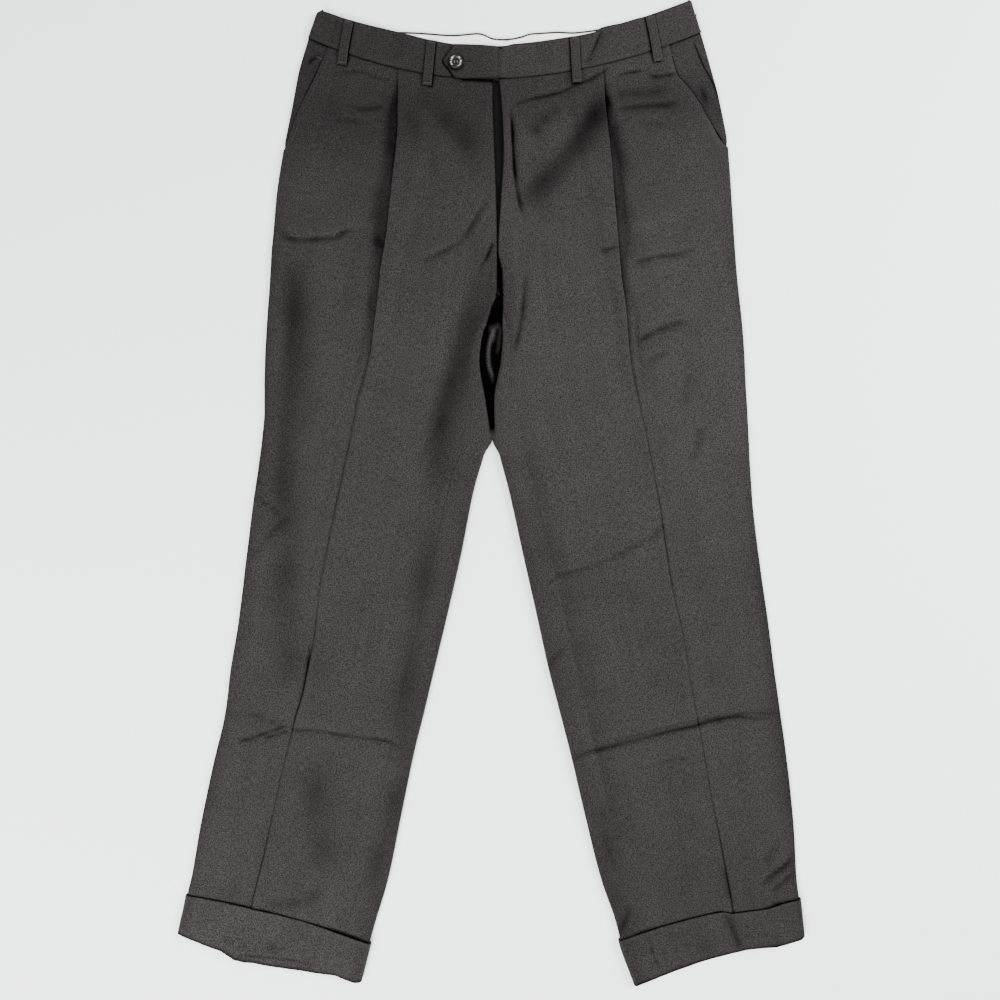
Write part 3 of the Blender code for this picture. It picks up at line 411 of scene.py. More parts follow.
BAND_FOLDS = as_folds(
    ("band drag, right side", 5, -0.5, 0, ALL, (-166, 512), (-172, 498), (-176, 486)),
    ("band drag, left", 5, -0.9, 0.3, ALL, (121, 506), (117, 494), (108, 476), (100, 462)),
    ("band swell, left", 8, 0.5, 0, ALL, (134, 508), (130, 492), (124, 474)),
    ("band dip, right", 9, -0.5, 0, ALL, (-96, 500), (-100, 484), (-98, 470)),
    ("band dip, left", 9, -0.4, 0, ALL, (52, 494), (56, 478), (54, 462)),
    ("tab seam", 1.3, -0.25, 0, ALL, (8, 489), (8, 470), (8, 452)),
    ("tab seam's nick", 2.6, -0.6, 0, ALL, (8, 490), (10, 484), (13, 480)),
)
FACING_FOLDS = as_folds(
    ("facing fold, right", 2.4, -0.35, 0, ALL, (-202, 466), (-198, 469), (-194, 473), (-188, 476)),
    ("facing fold, left", 4, -0.35, 0, ALL, (227, 450), (231, 437), (235, 422)),
)
CUFF_FOLDS = as_folds(
    ("hem swell, right", 7, 0.7, 0, ALL, (-275.9, -504.5), (-249.8, -505.6), (-223.6, -512.2)),
    ("hem dent, right", 7, -0.6, 0, ALL, (-243.2, -487.1), (-234.5, -493.6), (-228, -501.3)),
    ("turn-up swell, right", 12, 0.8, 0, ALL, (-175.6, -492.5), (-159.3, -506.7), (-147.3, -522)),
    ("hem dent, left", 6, -0.6, 0, ALL, (304, -474), (310.5, -484.9), (314.9, -493.6)),
    ("turn-up swell, left", 12, 0.7, 0, ALL, (162.3, -498), (175.3, -511.1), (184.1, -522)),
    ("crease of the turn-up, left", 4, -0.6, 0, ALL, (250.6, -448.9), (258.2, -465.3), (268, -484.9),
     (275.6, -500.2)),
)
VALLEY_FOLDS = as_folds(
    ("tongue in the fork", 2.4, 1.8, 0, ALL, (9.7, 187.6), (4.8, 181.1), (0.4, 172.4), (-2, 161.5),
     (-3.2, 149.5), (-2.5, 139.7), (0.4, 128.8), (2.7, 116.8)),
    ("its second lip", 2, 1, 0, ALL, (10.2, 186.5), (9.5, 175.6), (8.1, 162.5), (6.2, 148.4)),
)

# Painted shadows of each piece; in the valley the negative depths paint light on the tongue in the fork
SHADOWS = {
    "front_right": as_shadows(
        (2, 1, 0.12, (-35, 450.1), (-23, 449.2), (-7.8, 448.1), (5.3, 447.6)),
        (1.8, 0.35, 0.4, (6.4, 278.1), (2.6, 269.4), (-2.3, 261.7), (-6.7, 253), (-11, 243.2),
         (-14.3, 230.1)),
        (5, 0.34, 0.2, (-104.8, -301.8), (-109.1, -356.3), (-116.8, -410.8), (-124.4, -459.8)),
        (9, 0.14, 0.2, (-244.3, 210.5), (-249.8, 134.2), (-254.1, 57.9), (-262.8, -29.3)),
    ),
    "front_left": as_shadows(
        (1.7, 0.25, 0.12, (19.5, 417.6), (33.6, 425.2), (53.3, 431.2), (75.1, 435.6), (91.4, 441.6),
         (105.6, 448.1), (116.5, 453.6), (127.4, 461.2), (135, 466.7)),
        (1.6, 0.3, 0.3, (136.1, 454.7), (150.3, 457.4), (164.4, 459), (179.7, 456.8)),
        (1.8, 0.3, 0.3, (136.1, 418.7), (162.3, 422), (186.2, 425.2), (205.9, 426.3)),
        (1.5, 0.62, 0.25, (20, 422), (21.7, 408.9), (23.3, 384.9), (24.9, 357.7), (28.2, 335.9)),
        (1.7, 0.25, 0.12, (86, -292), (118.7, -282.2), (167.7, -269.1), (223.3, -254.9), (268, -246.2)),
        (3.2, 0.32, 0.3, (250.6, -402.1), (254.9, -421.7), (258.2, -435.9), (261.5, -450)),
        (2.6, 0.2, 0.2, (128.5, 406.7), (134.5, 379.5), (141.6, 346.8), (145.4, 314.1), (147.6, 275.9)),
        (24, 0.16, 0.2, (40.2, -12.9), (59.8, -89.2), (81.6, -171), (103.4, -258.2), (125.2, -345.4),
         (142.6, -421.7)),
        (14, 0.14, 0.2, (289.8, -29.3), (301.8, -116.5), (310.5, -203.7), (321.4, -290.9), (331.2, -389)),
        (9, 0.14, 0.3, (19.5, 259.6), (19.5, 210.5), (17.3, 156), (12.9, 79.7)),
    ),
    "pocket_facing_right": as_shadows(
        (1.7, 0.6, 0.3, (-201.5, 466.1), (-199.5, 467.7), (-194.5, 472.8), (-188.3, 475.8),
         (-183.3, 475.3)),
    ),
    "pocket_facing_left": as_shadows(
        (0.9, 0.95, 0.1, (218.6, 495.1), (223.6, 484), (231, 466.5), (241.1, 447.8), (248.5, 429.2),
         (253.5, 415.4), (257.2, 388.1)),
        (3.6, 0.5, 0.45, (227.1, 448.1), (229.8, 439.4), (233.1, 429.6), (236.4, 417.6)),
        (1.9, 1, 0.25, (242.9, 394.7), (247.3, 386), (251.6, 377.3)),
    ),
    "valley": as_shadows(
        (1.9, -0.95, 0.24, (9.7, 184.3), (4.8, 179.4), (0.4, 171.3), (-1.9, 161.5), (-3.2, 149.5),
         (-2.5, 139.7), (0.4, 128.8), (2.7, 116.8)),
        (2.2, -0.45, 0.15, (-3.4, 177.8), (2, 180), (7.5, 181.1), (10.8, 181.1)),
        (2.6, -0.6, 0.3, (1.8, 180), (2, 172.4), (0.3, 162.5)),
        (1.9, -0.36, 0.3, (10.2, 184.3), (9.5, 174.5), (8.1, 161.5), (6.2, 147.3)),
    ),
    "waistband": as_shadows(
        (0.9, 1, 0.04, (-30, 448.7), (-37.4, 448.9), (-45.6, 458.6), (-52.6, 468.3), (-46.8, 477),
         (-40.6, 486.4)),
        (0.7, 0.3, 0.1, (8.1, 489.5), (8.1, 472.1), (8.1, 448.1)),
        (1.2, 0.6, 0.3, (6.4, 487.4), (8.6, 484.1), (11.8, 479.7)),
        (1.1, 0.45, 0.25, (121.9, 505.9), (119.2, 499.4), (116.5, 493.9), (112.1, 483), (107.8, 474.3)),
    ),
    "cuffs": as_shadows(
        (1.3, 0.5, 0.2, (-275.9, -499.4), (-262.8, -501.1), (-243.2, -504.5), (-219.2, -508.9),
         (-201.8, -512.2)),
        (6, 0.24, 0.5, (-234.5, -488.2), (-238.9, -493.6), (-245.4, -500.2)),
        (5, 0.24, 0.5, (-208.3, -508.9), (-199.6, -512.2), (-192, -515.4)),
        (4.4, 0.3, 0.15, (257.1, -452.2), (261.5, -467.5), (265.8, -483.8), (269.1, -498)),
        (6, 0.2, 0.5, (216.8, -495.8), (232, -494.7), (247.3, -491.5)),
        (1, 0.5, 0.2, (171, -482.7), (175.3, -498), (183, -517.6)),
    ),
}

# Painted shade beyond the pleat's edge: distance down from the waist, depth, and how far it reaches
PLEAT_SHADOW = {
    RIGHT: (
        (-11, 0.1, 1.0), (0, 0.4, 1.5), (10, 0.7, 3.5), (22, 0.8, 7), (33, 0.85, 10.5), (54, 0.85, 13.5),
        (87, 0.95, 12.5), (105, 0.8, 14.5), (120, 0.66, 17), (153, 0.7, 18), (170, 0.75, 16),
        (185, 0.82, 13), (234, 0.6, 12), (283, 0.5, 7), (314, 0.5, 4), (392, 0.5, 3.2), (458, 0.6, 2.8),
        (500, 0.5, 2.5), (560, 0.35, 2.2), (590, 0.5, 1.8), (612, 1.1, 1.9), (676, 1.3, 2.1),
        (714, 1.2, 1.8), (741, 0.85, 1.3), (800, 0.95, 1.3), (839, 1.2, 1.4), (905, 1.5, 1.5),
        (930, 1.2, 1.2),
    ),
    LEFT: (
        (-14, 0.1, 1.0), (0, 0.6, 2), (12, 0.9, 4.5), (26, 1.1, 7), (44, 0.75, 9.5), (71, 0.75, 14),
        (104, 0.66, 15), (136, 0.82, 12.5), (174, 0.58, 13), (213, 0.9, 8), (256, 0.45, 6.5),
        (294, 0.6, 4.5), (322, 0.65, 4), (363, 0.6, 3), (425, 0.6, 2.4), (490, 0.8, 2.6), (559, 0.75, 2.4),
        (640, 0.7, 1.8), (700, 0.95, 1.7), (785, 0.95, 1.6), (860, 1.1, 2.6), (930, 1.1, 2.8),
    ),
}

# Slow painted shade over the whole: distance down from the waist, and shade
SLOW_PAINTED_SHADE = {
    RIGHT: (
        (-90, 0.32), (0, 0.34), (25, 0.38), (50, 0.38), (71, 0.3), (93, 0.22), (120, 0.16), (153, 0.13),
        (185, 0.12), (240, 0.1), (294, 0.04), (403, 0.06), (567, 0.08), (676, 0.12), (785, 0.14),
        (861, 0.13), (930, 0.1),
    ),
    LEFT: (
        (-90, 0.12), (-12, 0.13), (4, 0.26), (30, 0.3), (60, 0.15), (109, 0.12), (163, 0.05), (240, 0.03),
        (349, 0.02), (458, 0.04), (567, 0.12), (654, 0.11), (785, 0.14), (861, 0.2), (930, 0.22),
    ),
}

# Painted shade beside the pocket edge: distance down, depth, and how far it reaches
POCKET_SHADOW = {
    RIGHT: (
        (-45, 0.2, 1.2), (-32, 0.5, 1.2), (-26, 1.1, 1.5), (5, 1.2, 1.7), (17, 0.8, 1.4), (28, 0.2, 1.2),
        (76, 0.1, 1.2),
    ),
    LEFT: (
        (-51, 0.3, 1.2), (-34, 0.7, 1.5), (-14, 0.7, 2.5), (3, 0.5, 4.0), (30, 0.4, 3.0), (48, 0.7, 2.4),
        (58, 1.2, 2.6), (68, 1.2, 2.2), (74, 0.3, 1.2),
    ),
}

# The top edge of the turn-up by share of the leg's width: how far it dips, and the
# width of the painted shadow in the gap over it
CUFF_TOP = {
    RIGHT: (
        (0, 0, 1.2), (0.15, 0, 1.4), (0.3, 0, 1.0), (0.5, 0, 0.8), (1, 0, 0.7),
    ),
    LEFT: (
        (0, 0, 0.9), (0.12, 0, 1.4), (0.22, 0, 1.0), (0.5, 0, 0.6), (0.57, 0.9, 0.8), (0.63, 4.7, 1.1),
        (0.69, 5.4, 0.8), (0.78, 6.1, 0.8), (0.82, 5.8, 1.6), (0.87, 3.8, 3.0), (0.91, 1.7, 1.3),
        (1, -0.9, 0.7),
    ),
}

# The painted shade of the gap between the legs: Y, its right and its left edge
CROTCH_GAP = (
    (67.7, 0.6, 1.3), (84.1, -1.4, 2.6), (103.7, -6.2, 3.3), (118.9, -9.3, 4.9), (128.8, -10.8, 8.1),
    (145.1, -12.6, 10.0), (153.8, -12.2, 9.0), (166.9, -10.8, 11.4), (181.1, -6.1, 12.5),
    (193.1, -2.3, 12.8), (202.9, 0.7, 13.0), (214.9, 6.4, 13.3), (224.7, 6.8, 13.3), (241.0, 6.8, 12.5),
    (251.9, 6.8, 9.9), (260.6, 6.8, 7.7),
)

# Slight unevenness of lying cloth: wavelength, heading in degrees, height and phase
RIPPLES = (
    (71.0, 12, 0.20, 0.3),
    (53.0, 104, 0.16, 1.9),
    (37.0, 63, 0.13, 4.1),
    (29.0, 151, 0.10, 2.6),
    (21.0, 28, 0.06, 5.2),
    (17.0, 118, 0.05, 0.8),
)

# The button: its place, its height over the surface, its holes, and its profile as distance
# from the middle and height over the base, from the back's middle to the front's
BUTTON_X, BUTTON_DOWN = -44.5, -15.8
BUTTON_BASE_Z = 8.95
HOLE_SPREAD = 1.6
HOLE_RADIUS = 0.8
BUTTON_PROFILE = (
    (0, 0), (3.0, 0), (5.6, 0.05), (6.8, 0.35), (7.4, 0.85), (7.6, 1.35), (7.55, 1.8),
    (7.3, 2.2), (6.9, 2.5), (6.4, 2.66), (5.9, 2.68), (5.4, 2.55), (5.0, 2.25), (4.6, 1.95),
    (4.0, 1.78), (3.0, 1.70), (1.5, 1.68), (0, 1.68),
)
PROFILE_RADIUS = 7.6

# Where the pocket mouths and the fly's foot are held: a start and an end in the frame's X and Y
POCKET_TACKS = {
    RIGHT: ((-190.6, 475.5), (-184.6, 473.0)),
    LEFT: ((186.2, 472.2), (197.6, 476.8)),
}
FLY_TACK = ((14.0, 236.5), (22.6, 244.5))
LINING_ROWS = (
    ((-98, 494.2), (-60, 492.8), (-30, 493.0), (-12, 490.5), (0, 489.3)),
    ((16, 489.5), (34, 492.4), (60, 493.6), (90, 495.2), (112, 498.0)),
)

# Lamps: place, size, power and colour
LAMPS = {
    "lamp_left": ((-1.5, -0.6, 1.5), 0.8, 28, (1.0, 0.985, 0.965)),
    "lamp_right": ((1.4, 0.4, 1.05), 0.8, 60, (0.97, 0.98, 1.0)),
    "lamp_front": ((-0.75, -1.35, 1.55), 1.0, 76, (1.0, 1.0, 1.0)),
}
SKY_COLOUR = (0.90, 0.95, 1.0, 1)
SKY_STRENGTH = 1.14
CAMERA_X, CAMERA_Y = 0.0096, -0.0080


# ---------------------------------------------------------------- sizes and colours


def length(name, description, default):
    """A length that the sidebar shows in the scene's unit."""
    return bpy.props.FloatProperty(
        name=name, description=description, default=default, min=0, precision=5, unit="LENGTH"
    )


def colour(name, description, default):
    """A colour swatch, in linear light."""
    return bpy.props.FloatVectorProperty(
        name=name, description=description, default=default, min=0, max=1, size=3, subtype="COLOR"
    )


class TrousersSizes(bpy.types.PropertyGroup):
    """Sizes of the cloth, the sewing and the view."""

    section_spacing: length("Section spacing", "Distance between the cross-sections", 0.0032)
    cloth_wall: length("Cloth wall", "Thickness of the wool", 0.0008)
    band_wall: length("Waistband wall", "Thickness of the waistband with its interlining", 0.0014)
    cuff_wall: length("Turn-up wall", "Thickness of the doubled turn-up", 0.0011)
    lining_wall: length("Lining wall", "Thickness of the waistband lining", 0.0008)
    loop_wall: length("Belt loop wall", "Thickness of a belt loop", 0.0010)
    cuff_stand: length("Turn-up stand", "How far the turn-up stands off the leg", 0.0017)
    cuff_flare: length("Turn-up flare", "How far the turn-up's top edge springs up", 0.0010)
    fold_strength: bpy.props.FloatProperty(
        name="Fold strength",
        description="Share of the folds' full depth",
        default=1.0,
        min=0,
        max=1.5,
        subtype="FACTOR",
    )
    stitch_length: length("Stitch length", "Length of one stitch", 0.0020)
    stitch_gap: length("Stitch gap", "Distance between two stitches", 0.0012)
    thread_radius: length("Thread radius", "Half the thickness of the sewing thread", 0.00022)
    button_radius: length("Button radius", "Half the width of the tab's button", 0.0076)
    camera_height: length("Camera height", "Height of the camera over the surface", 0.82)
    view_width: length("View width", "Width of the surface that the camera sees", 1.095)


class TrousersColours(bpy.types.PropertyGroup):
    """Colours of the cloth, the lining, the button and the surface."""

    wool_dark: colour("Wool, dark threads", "Darkest yarn of the wool", (0.0049, 0.0041, 0.0040))
    wool_light: colour("Wool, light threads", "Lightest yarn of the wool", (0.0322, 0.0280, 0.0272))
    lining: colour("Lining", "Waistband lining", (0.93, 0.91, 0.86))
    # Made near black: painted shade of the fly's deep recess
    shield: colour("Fly shield", "Twill behind the fly", (0.0016, 0.0014, 0.0014))
    horn: colour("Horn", "Body of the button", (0.007, 0.006, 0.0055))
    # Pale marbling, and a painted highlight at the sides of the button's ring
    horn_streak_and_highlight: colour("Horn streaks", "Pale streaks in the button", (0.46, 0.44, 0.41))
    thread: colour("Thread", "Sewing thread", (0.012, 0.0105, 0.0105))
    surface: colour("Surface", "What the trousers lie on", (0.955, 0.965, 0.96))


def sizes():
    return bpy.context.scene.trousers_sizes


def colours():
    return bpy.context.scene.trousers_colours


def in_mm(name):
    """One of the sizes, in millimetres."""
    return getattr(sizes(), name) / MM


# ---------------------------------------------------------------- curves and folds


def smooth(share):
    """An even rise from 0 to 1: three times the square less twice the cube."""
    share = np.clip(share, 0, 1)
    return share * share * (3 - 2 * share)


def bell(gap, width):
    """A bell across a line: the exponential of minus the square of the gap over the width."""
    return np.exp(-((gap / width) ** 2))


def fading(share, rise, fall):
    """A rise over the first share of a line, and a fall over the last."""
    return smooth(share / rise) * smooth((1 - share) / fall)


def steps(count, first=False):
    """Even shares up to 1, as a row, with or without the 0."""
    shares = np.linspace(0, 1, count + 1)[None, :]
    return shares if first else shares[:, 1:]


def circle(count):
    """Even turns once round."""
    return np.linspace(0, 2 * np.pi, count, endpoint=False)


def stacked(*parts):
    """Coordinates side by side, each spread over the shape of them all."""
    return np.stack(np.broadcast_arrays(*parts), axis=-1)


def world(out, down):
    """X and Y of a place given outwards from the centre front and down from the waist seam."""
    return out + CENTRE_X, WAIST_Y - down


def arc(centre, foot, radius, start, turn, count, first=False):
    """Distances and heights along an arc that starts at an angle and turns on from it.

    They are the centre plus the radius times the cosine, and the foot plus the radius
    times one more than the sine.
    """
    angle = np.radians(start + turn * steps(count, first))
    return centre + radius * np.cos(angle), foot + radius * (1 + np.sin(angle))


def on_plan(in_x, in_down, out_x, out_down, bow, share):
    """Distances outwards and down at some shares of a straight line.

    Its middle bows down by a parabola: four times the bow, the share and its rest.
    """
    inside = np.clip(share, 0, 1)
    down = in_down + share * (out_down - in_down)
    return in_x + share * (out_x - in_x), down + 4 * bow * inside * (1 - inside)


def eased(places, known, values):
    """Values at some places on a smooth curve through known ones.

    Each stretch is a Hermite cubic. Its end slopes are the harmonic means of the
    neighbouring chords' slopes, and 0 where those disagree in sign.
    """
    known = np.asarray(known, float)
    values = np.asarray(values, float).reshape(len(known), -1)
    step = np.diff(known)[:, None]
    chord = np.diff(values, axis=0) / step
    before, after = chord[:-1], chord[1:]
    agree = before * after > 0
    middle = np.where(agree, 2 * before * after / np.where(agree, before + after, 1), 0)
    slope = np.vstack([chord[:1], middle, chord[-1:]])
    piece = np.clip(np.searchsorted(known, places, side="right") - 1, 0, len(step) - 1)
    span = step[piece]
    s = (np.asarray(places, float)[:, None] - known[piece][:, None]) / span
    start, end = values[piece], values[piece + 1]
    leave, arrive = slope[piece] * span, slope[piece + 1] * span
    rise = s * s * (3 - 2 * s)
    return start * (1 - rise) + end * rise + leave * s * (1 - s) ** 2 + arrive * s * s * (s - 1)


def by_table(places, table):
    """The columns of a table at some places, eased, and held level beyond its ends."""
    known, *values = np.array(table, float).T
    inside = np.clip(np.ravel(places), known[0], known[-1])
    found = eased(inside, known, np.stack(values, 1)).T
    return [column.reshape(np.shape(places)) for column in found]


def run_along(line):
    """Distance run along a line from its first point."""
    return np.concatenate([[0], np.cumsum(np.linalg.norm(np.diff(line, axis=0), axis=1))])


def along_path(path, spots):
    """Places at some distances along a path of straight stretches."""
    reach = run_along(path)
    return np.stack([np.interp(spots, reach, column) for column in np.asarray(path, float).T], -1)


def bent(line, count=6):
    """A bent line made smooth: eased through its points, with some steps to each stretch."""
    reach = run_along(line)
    return eased(np.linspace(0, reach[-1], count * (len(line) - 1) + 1), reach, line)


def close_to(x, y, line, reach):
    """Whether points lie in the box of a line, grown all round by a reach."""
    low, high = line.min(axis=0) - reach, line.max(axis=0) + reach
    return (x > low[0]) & (x < high[0]) & (y > low[1]) & (y < high[1])


def gap_to_line(x, y, line):
    """How far points lie from a bent line, and the share of its length that is nearest.

    Each point is dropped onto every straight stretch, held between its ends, and the
    shortest gap counts. The gap is positive on the left of the line's run.
    """
    step = np.diff(line, axis=0)
    reach = run_along(line)
    long = np.diff(reach)
    from_x = x[:, None] - line[:-1, 0]
    from_y = y[:, None] - line[:-1, 1]
    along = np.clip((from_x * step[:, 0] + from_y * step[:, 1]) / long**2, 0, 1)
    gap = np.hypot(from_x - along * step[:, 0], from_y - along * step[:, 1])
    nearest = gap.argmin(axis=1)
    row = np.arange(len(x))
    left = step[:, 0] * from_y - step[:, 1] * from_x
    share = (reach[nearest] + along[row, nearest] * long[nearest]) / reach[-1]
    return np.copysign(gap[row, nearest], left[row, nearest]), share


def relief(x, y, folds, part=ALL):
    """Height and painted shade that the folds of one part add at some points.

    Across its line a fold is a bell, wider on one side where it leans. Along its line
    it rises from nothing and dies away, and its depth wavers. A trough adds painted
    shade as it adds depth, the more so the sharper it is, and a ridge takes some away,
    a painted highlight.
    """
    height = np.zeros(x.shape)
    shade = np.zeros(x.shape)
    for number, fold in enumerate(folds):
        if fold.part != part:
            continue
        line = bent(fold.line)
        near = close_to(x, y, line, 3 * fold.width * (1 + abs(fold.lean)))
        gap, share = gap_to_line(x[near], y[near], line)
        width = fold.width * (1 + fold.lean * np.sign(gap))
        ends = fading(share, 0.22, 0.26)
        waver = 1 + 0.22 * np.sin(2 * np.pi * (share * (1.3 + number % 3) + 0.37 * number))
        height[near] += fold.depth * bell(gap, width) * ends * waver
        if fold.depth < 0:
            sharp = width * min(1.0, 0.4 + fold.width / 16)
            shade[near] -= (0.10 + 1.1 / fold.width) * fold.depth * bell(gap, sharp) * ends * waver
        else:
            shade[near] -= 0.10 * fold.depth * bell(gap, width) * ends
    return height, shade


def shadows(x, y, lines):
    """Painted shade along lines, where cloth lies close against cloth, in creases and over broad
    stretches, and painted light where the depth is negative: a bell across each line.
    """
    shade = np.zeros(x.shape)
    for shadow in lines:
        line = bent(shadow.line)
        near = close_to(x, y, line, 3 * shadow.width)
        gap, share = gap_to_line(x[near], y[near], line)
        ends = fading(share, shadow.fade, shadow.fade)
        shade[near] += shadow.depth * bell(gap, shadow.width) * ends
    return shade


def gap_shade(x, y):
    """Painted shade of the gap between the legs: full between its two edges, soft over 1.6 mm."""
    height, right, left = np.array(CROTCH_GAP, float).T
    inward = smooth((x - np.interp(y, height, right)) / 1.6 + 0.5)
    outward = smooth((np.interp(y, height, left) - x) / 1.6 + 0.5)
    ends = smooth((y - height[0]) / 4 + 0.5) * smooth((height[-1] - y) / 6 + 0.5)
    return 1.3 * inward * outward * ends


def run_of(loop):
    """The length of a belt loop, and its heading outwards and down."""
    run = np.array([loop.foot_x - loop.top_x, loop.foot_down - loop.top_down])
    return np.hypot(*run), run / np.hypot(*run)


def on_loop(loop, along, beside):
    """X and Y beside a belt loop's middle, so far along from its top, or from its foot if negative."""
    long, turn = run_of(loop)
    along = np.where(np.less(along, 0), long + along, along)
    return world(
        loop.top_x + along * turn[0] + beside * turn[1],
        loop.top_down + along * turn[1] - beside * turn[0],
    )


def beside_loops(x, y):
    """Painted shade close beside the front belt loops, the darker on the side of the centre front."""
    shade = np.zeros(x.shape)
    for loop in FRONT_LOOPS:
        long, turn = run_of(loop)
        from_x, from_down = x - CENTRE_X - loop.top_x, WAIST_Y - y - loop.top_down
        along = from_x * turn[0] + from_down * turn[1]
        across = from_x * turn[1] - from_down * turn[0]
        gap = np.hypot(np.maximum(np.abs(across) - LOOP_WIDTH / 2, 0), np.maximum(along - long, 0))
        depth = np.where(across * np.sign(loop.top_x) < 0, 1.0, 0.62)
        shade = np.maximum(shade, depth * bell(gap, 1.25))
    return shade


def unevenness(x, y):
    """The sum of slow waves that run in different directions."""
    total = np.zeros(x.shape)
    for wavelength, heading, height, phase in RIPPLES:
        turn = np.radians(heading)
        along = x * np.cos(turn) + y * np.sin(turn)
        across = y * np.cos(turn) - x * np.sin(turn)
        bend = 0.9 * np.sin(across / (1.7 * wavelength) + 2 * phase)
        total += height * np.sin(2 * np.pi * along / wavelength + phase + bend)
    return total


# ---------------------------------------------------------------- sections


def plan_of(side, name):
    """The plan of a named section: the table gives the right, and then the left."""
    return PLAN[name][side == LEFT]


def middle_down(side, name):
    """Distance down of the middle of a named section."""
    plan = plan_of(side, name)
    return (plan[1] + plan[3]) / 2


def leg_end(side):
    top, hem = middle_down(side, "cuff_top"), middle_down(side, "hem")
    return top + LEG_END_SHARE * (hem - top)


def places_down(side, first, last):
    """Places down from one named section to another, closer where the folds are finer.

    The spacing is given at some places. The running sum of one over it is shared out
    evenly.
    """
    end = last if isinstance(last, float) else middle_down(side, last)
    fine = np.linspace(middle_down(side, first), end, 2000)
    share = np.interp(fine - middle_down(side, "waist"), *FINENESS) * in_mm("section_spacing")
    run = np.concatenate([[0], np.cumsum(np.diff(fine) / share[1:])])
    count = max(2, int(round(run[-1])) + 1)
    return np.interp(np.linspace(0, run[-1], count), run, fine)


class Sections:
    """The cross-sections of one side at many places down it, each measure a column."""

    def __init__(self, side, down):
        table = np.array([plan_of(side, name) + FORM[name] for name in FORM], float)
        known = (table[:, 1] + table[:, 3]) / 2
        self.side = side
        self.down = np.asarray(down, float)[:, None]
        for name, column in zip(COLUMN_NAMES, eased(down, known, table).T):
            setattr(self, name, column[:, None])
        self.inner_end = in_mm("cloth_wall") / 2
        self.measure()
        self.roll_radius = (self.roll - self.floor) / 2
        self.fold_radius = (self.out_z - self.floor) / 2

    def measure(self):
        """Works out the width from the two ends."""
        self.width = np.hypot(self.out_x - self.in_x, self.out_down - self.in_down)
        self.outer_end = self.width - self.inner_end

    def seat_seam(self):
        """Distance of the seat seam from the inner edge."""
        return self.side * np.interp(self.in_down, *SEAT_SEAM) - self.in_x

    def inner_height(self, distance):
        """Height near the inner edge: a roll that falls away smoothly outwards."""
        share = (distance - self.inner_end - self.roll_radius) / ROLL_LENGTH
        return self.in_z + (self.roll - self.in_z) * (1 - smooth(share))

    def place(self, line):
        """Points of a line of distances and heights on the sections' bowed plans."""
        share = line.distance / self.width
        out, down = on_plan(self.in_x, self.in_down, self.out_x, self.out_down, self.bow, share)
        return stacked(*world(self.side * out, down), line.height)


Line = namedtuple("Line", "distance height top outer inner ground wear")


def strip(rows, distance, height, top=1.0, outer=0.0, inner=1.0, ground=0.0, wear=0.0):
    """One stretch of a section's mid-line, with how far each kind of fold moves it."""
    shape = np.broadcast_shapes(np.shape(distance), np.shape(height), (len(rows.down), 1))
    return [np.broadcast_to(v, shape) for v in (distance, height, top, outer, inner, ground, wear)]


def joined(*strips):
    """Stretches set end to end into one line."""
    return Line(*(np.concatenate(parts, axis=1) for parts in zip(*strips)))


def side_fold(rows, centre, radius, count):
    """The half circle at the side, the stretch under it to the outseam, and how far both
    belong to the top: 1 on top, falling smoothly to 0 below."""
    fold, fold_z = arc(centre, rows.floor, radius, 90, -180, count)
    seam = fold[:, -1:] + steps(3) * (rows.outer_end - rows.outseam - fold[:, -1:])
    return fold, fold_z, seam, smooth(((fold_z - rows.floor) / radius - 0.4) / 1.4)


# Steps along the front: level, up the shoulder, over the shelf, and beyond the pleat
LEVEL_STEPS, CLIMB_STEPS, FLAT_STEPS, OUTSIDE_STEPS = 44, 6, 6, 40
CREST_COLUMN = LEVEL_STEPS + 1 + CLIMB_STEPS + FLAT_STEPS


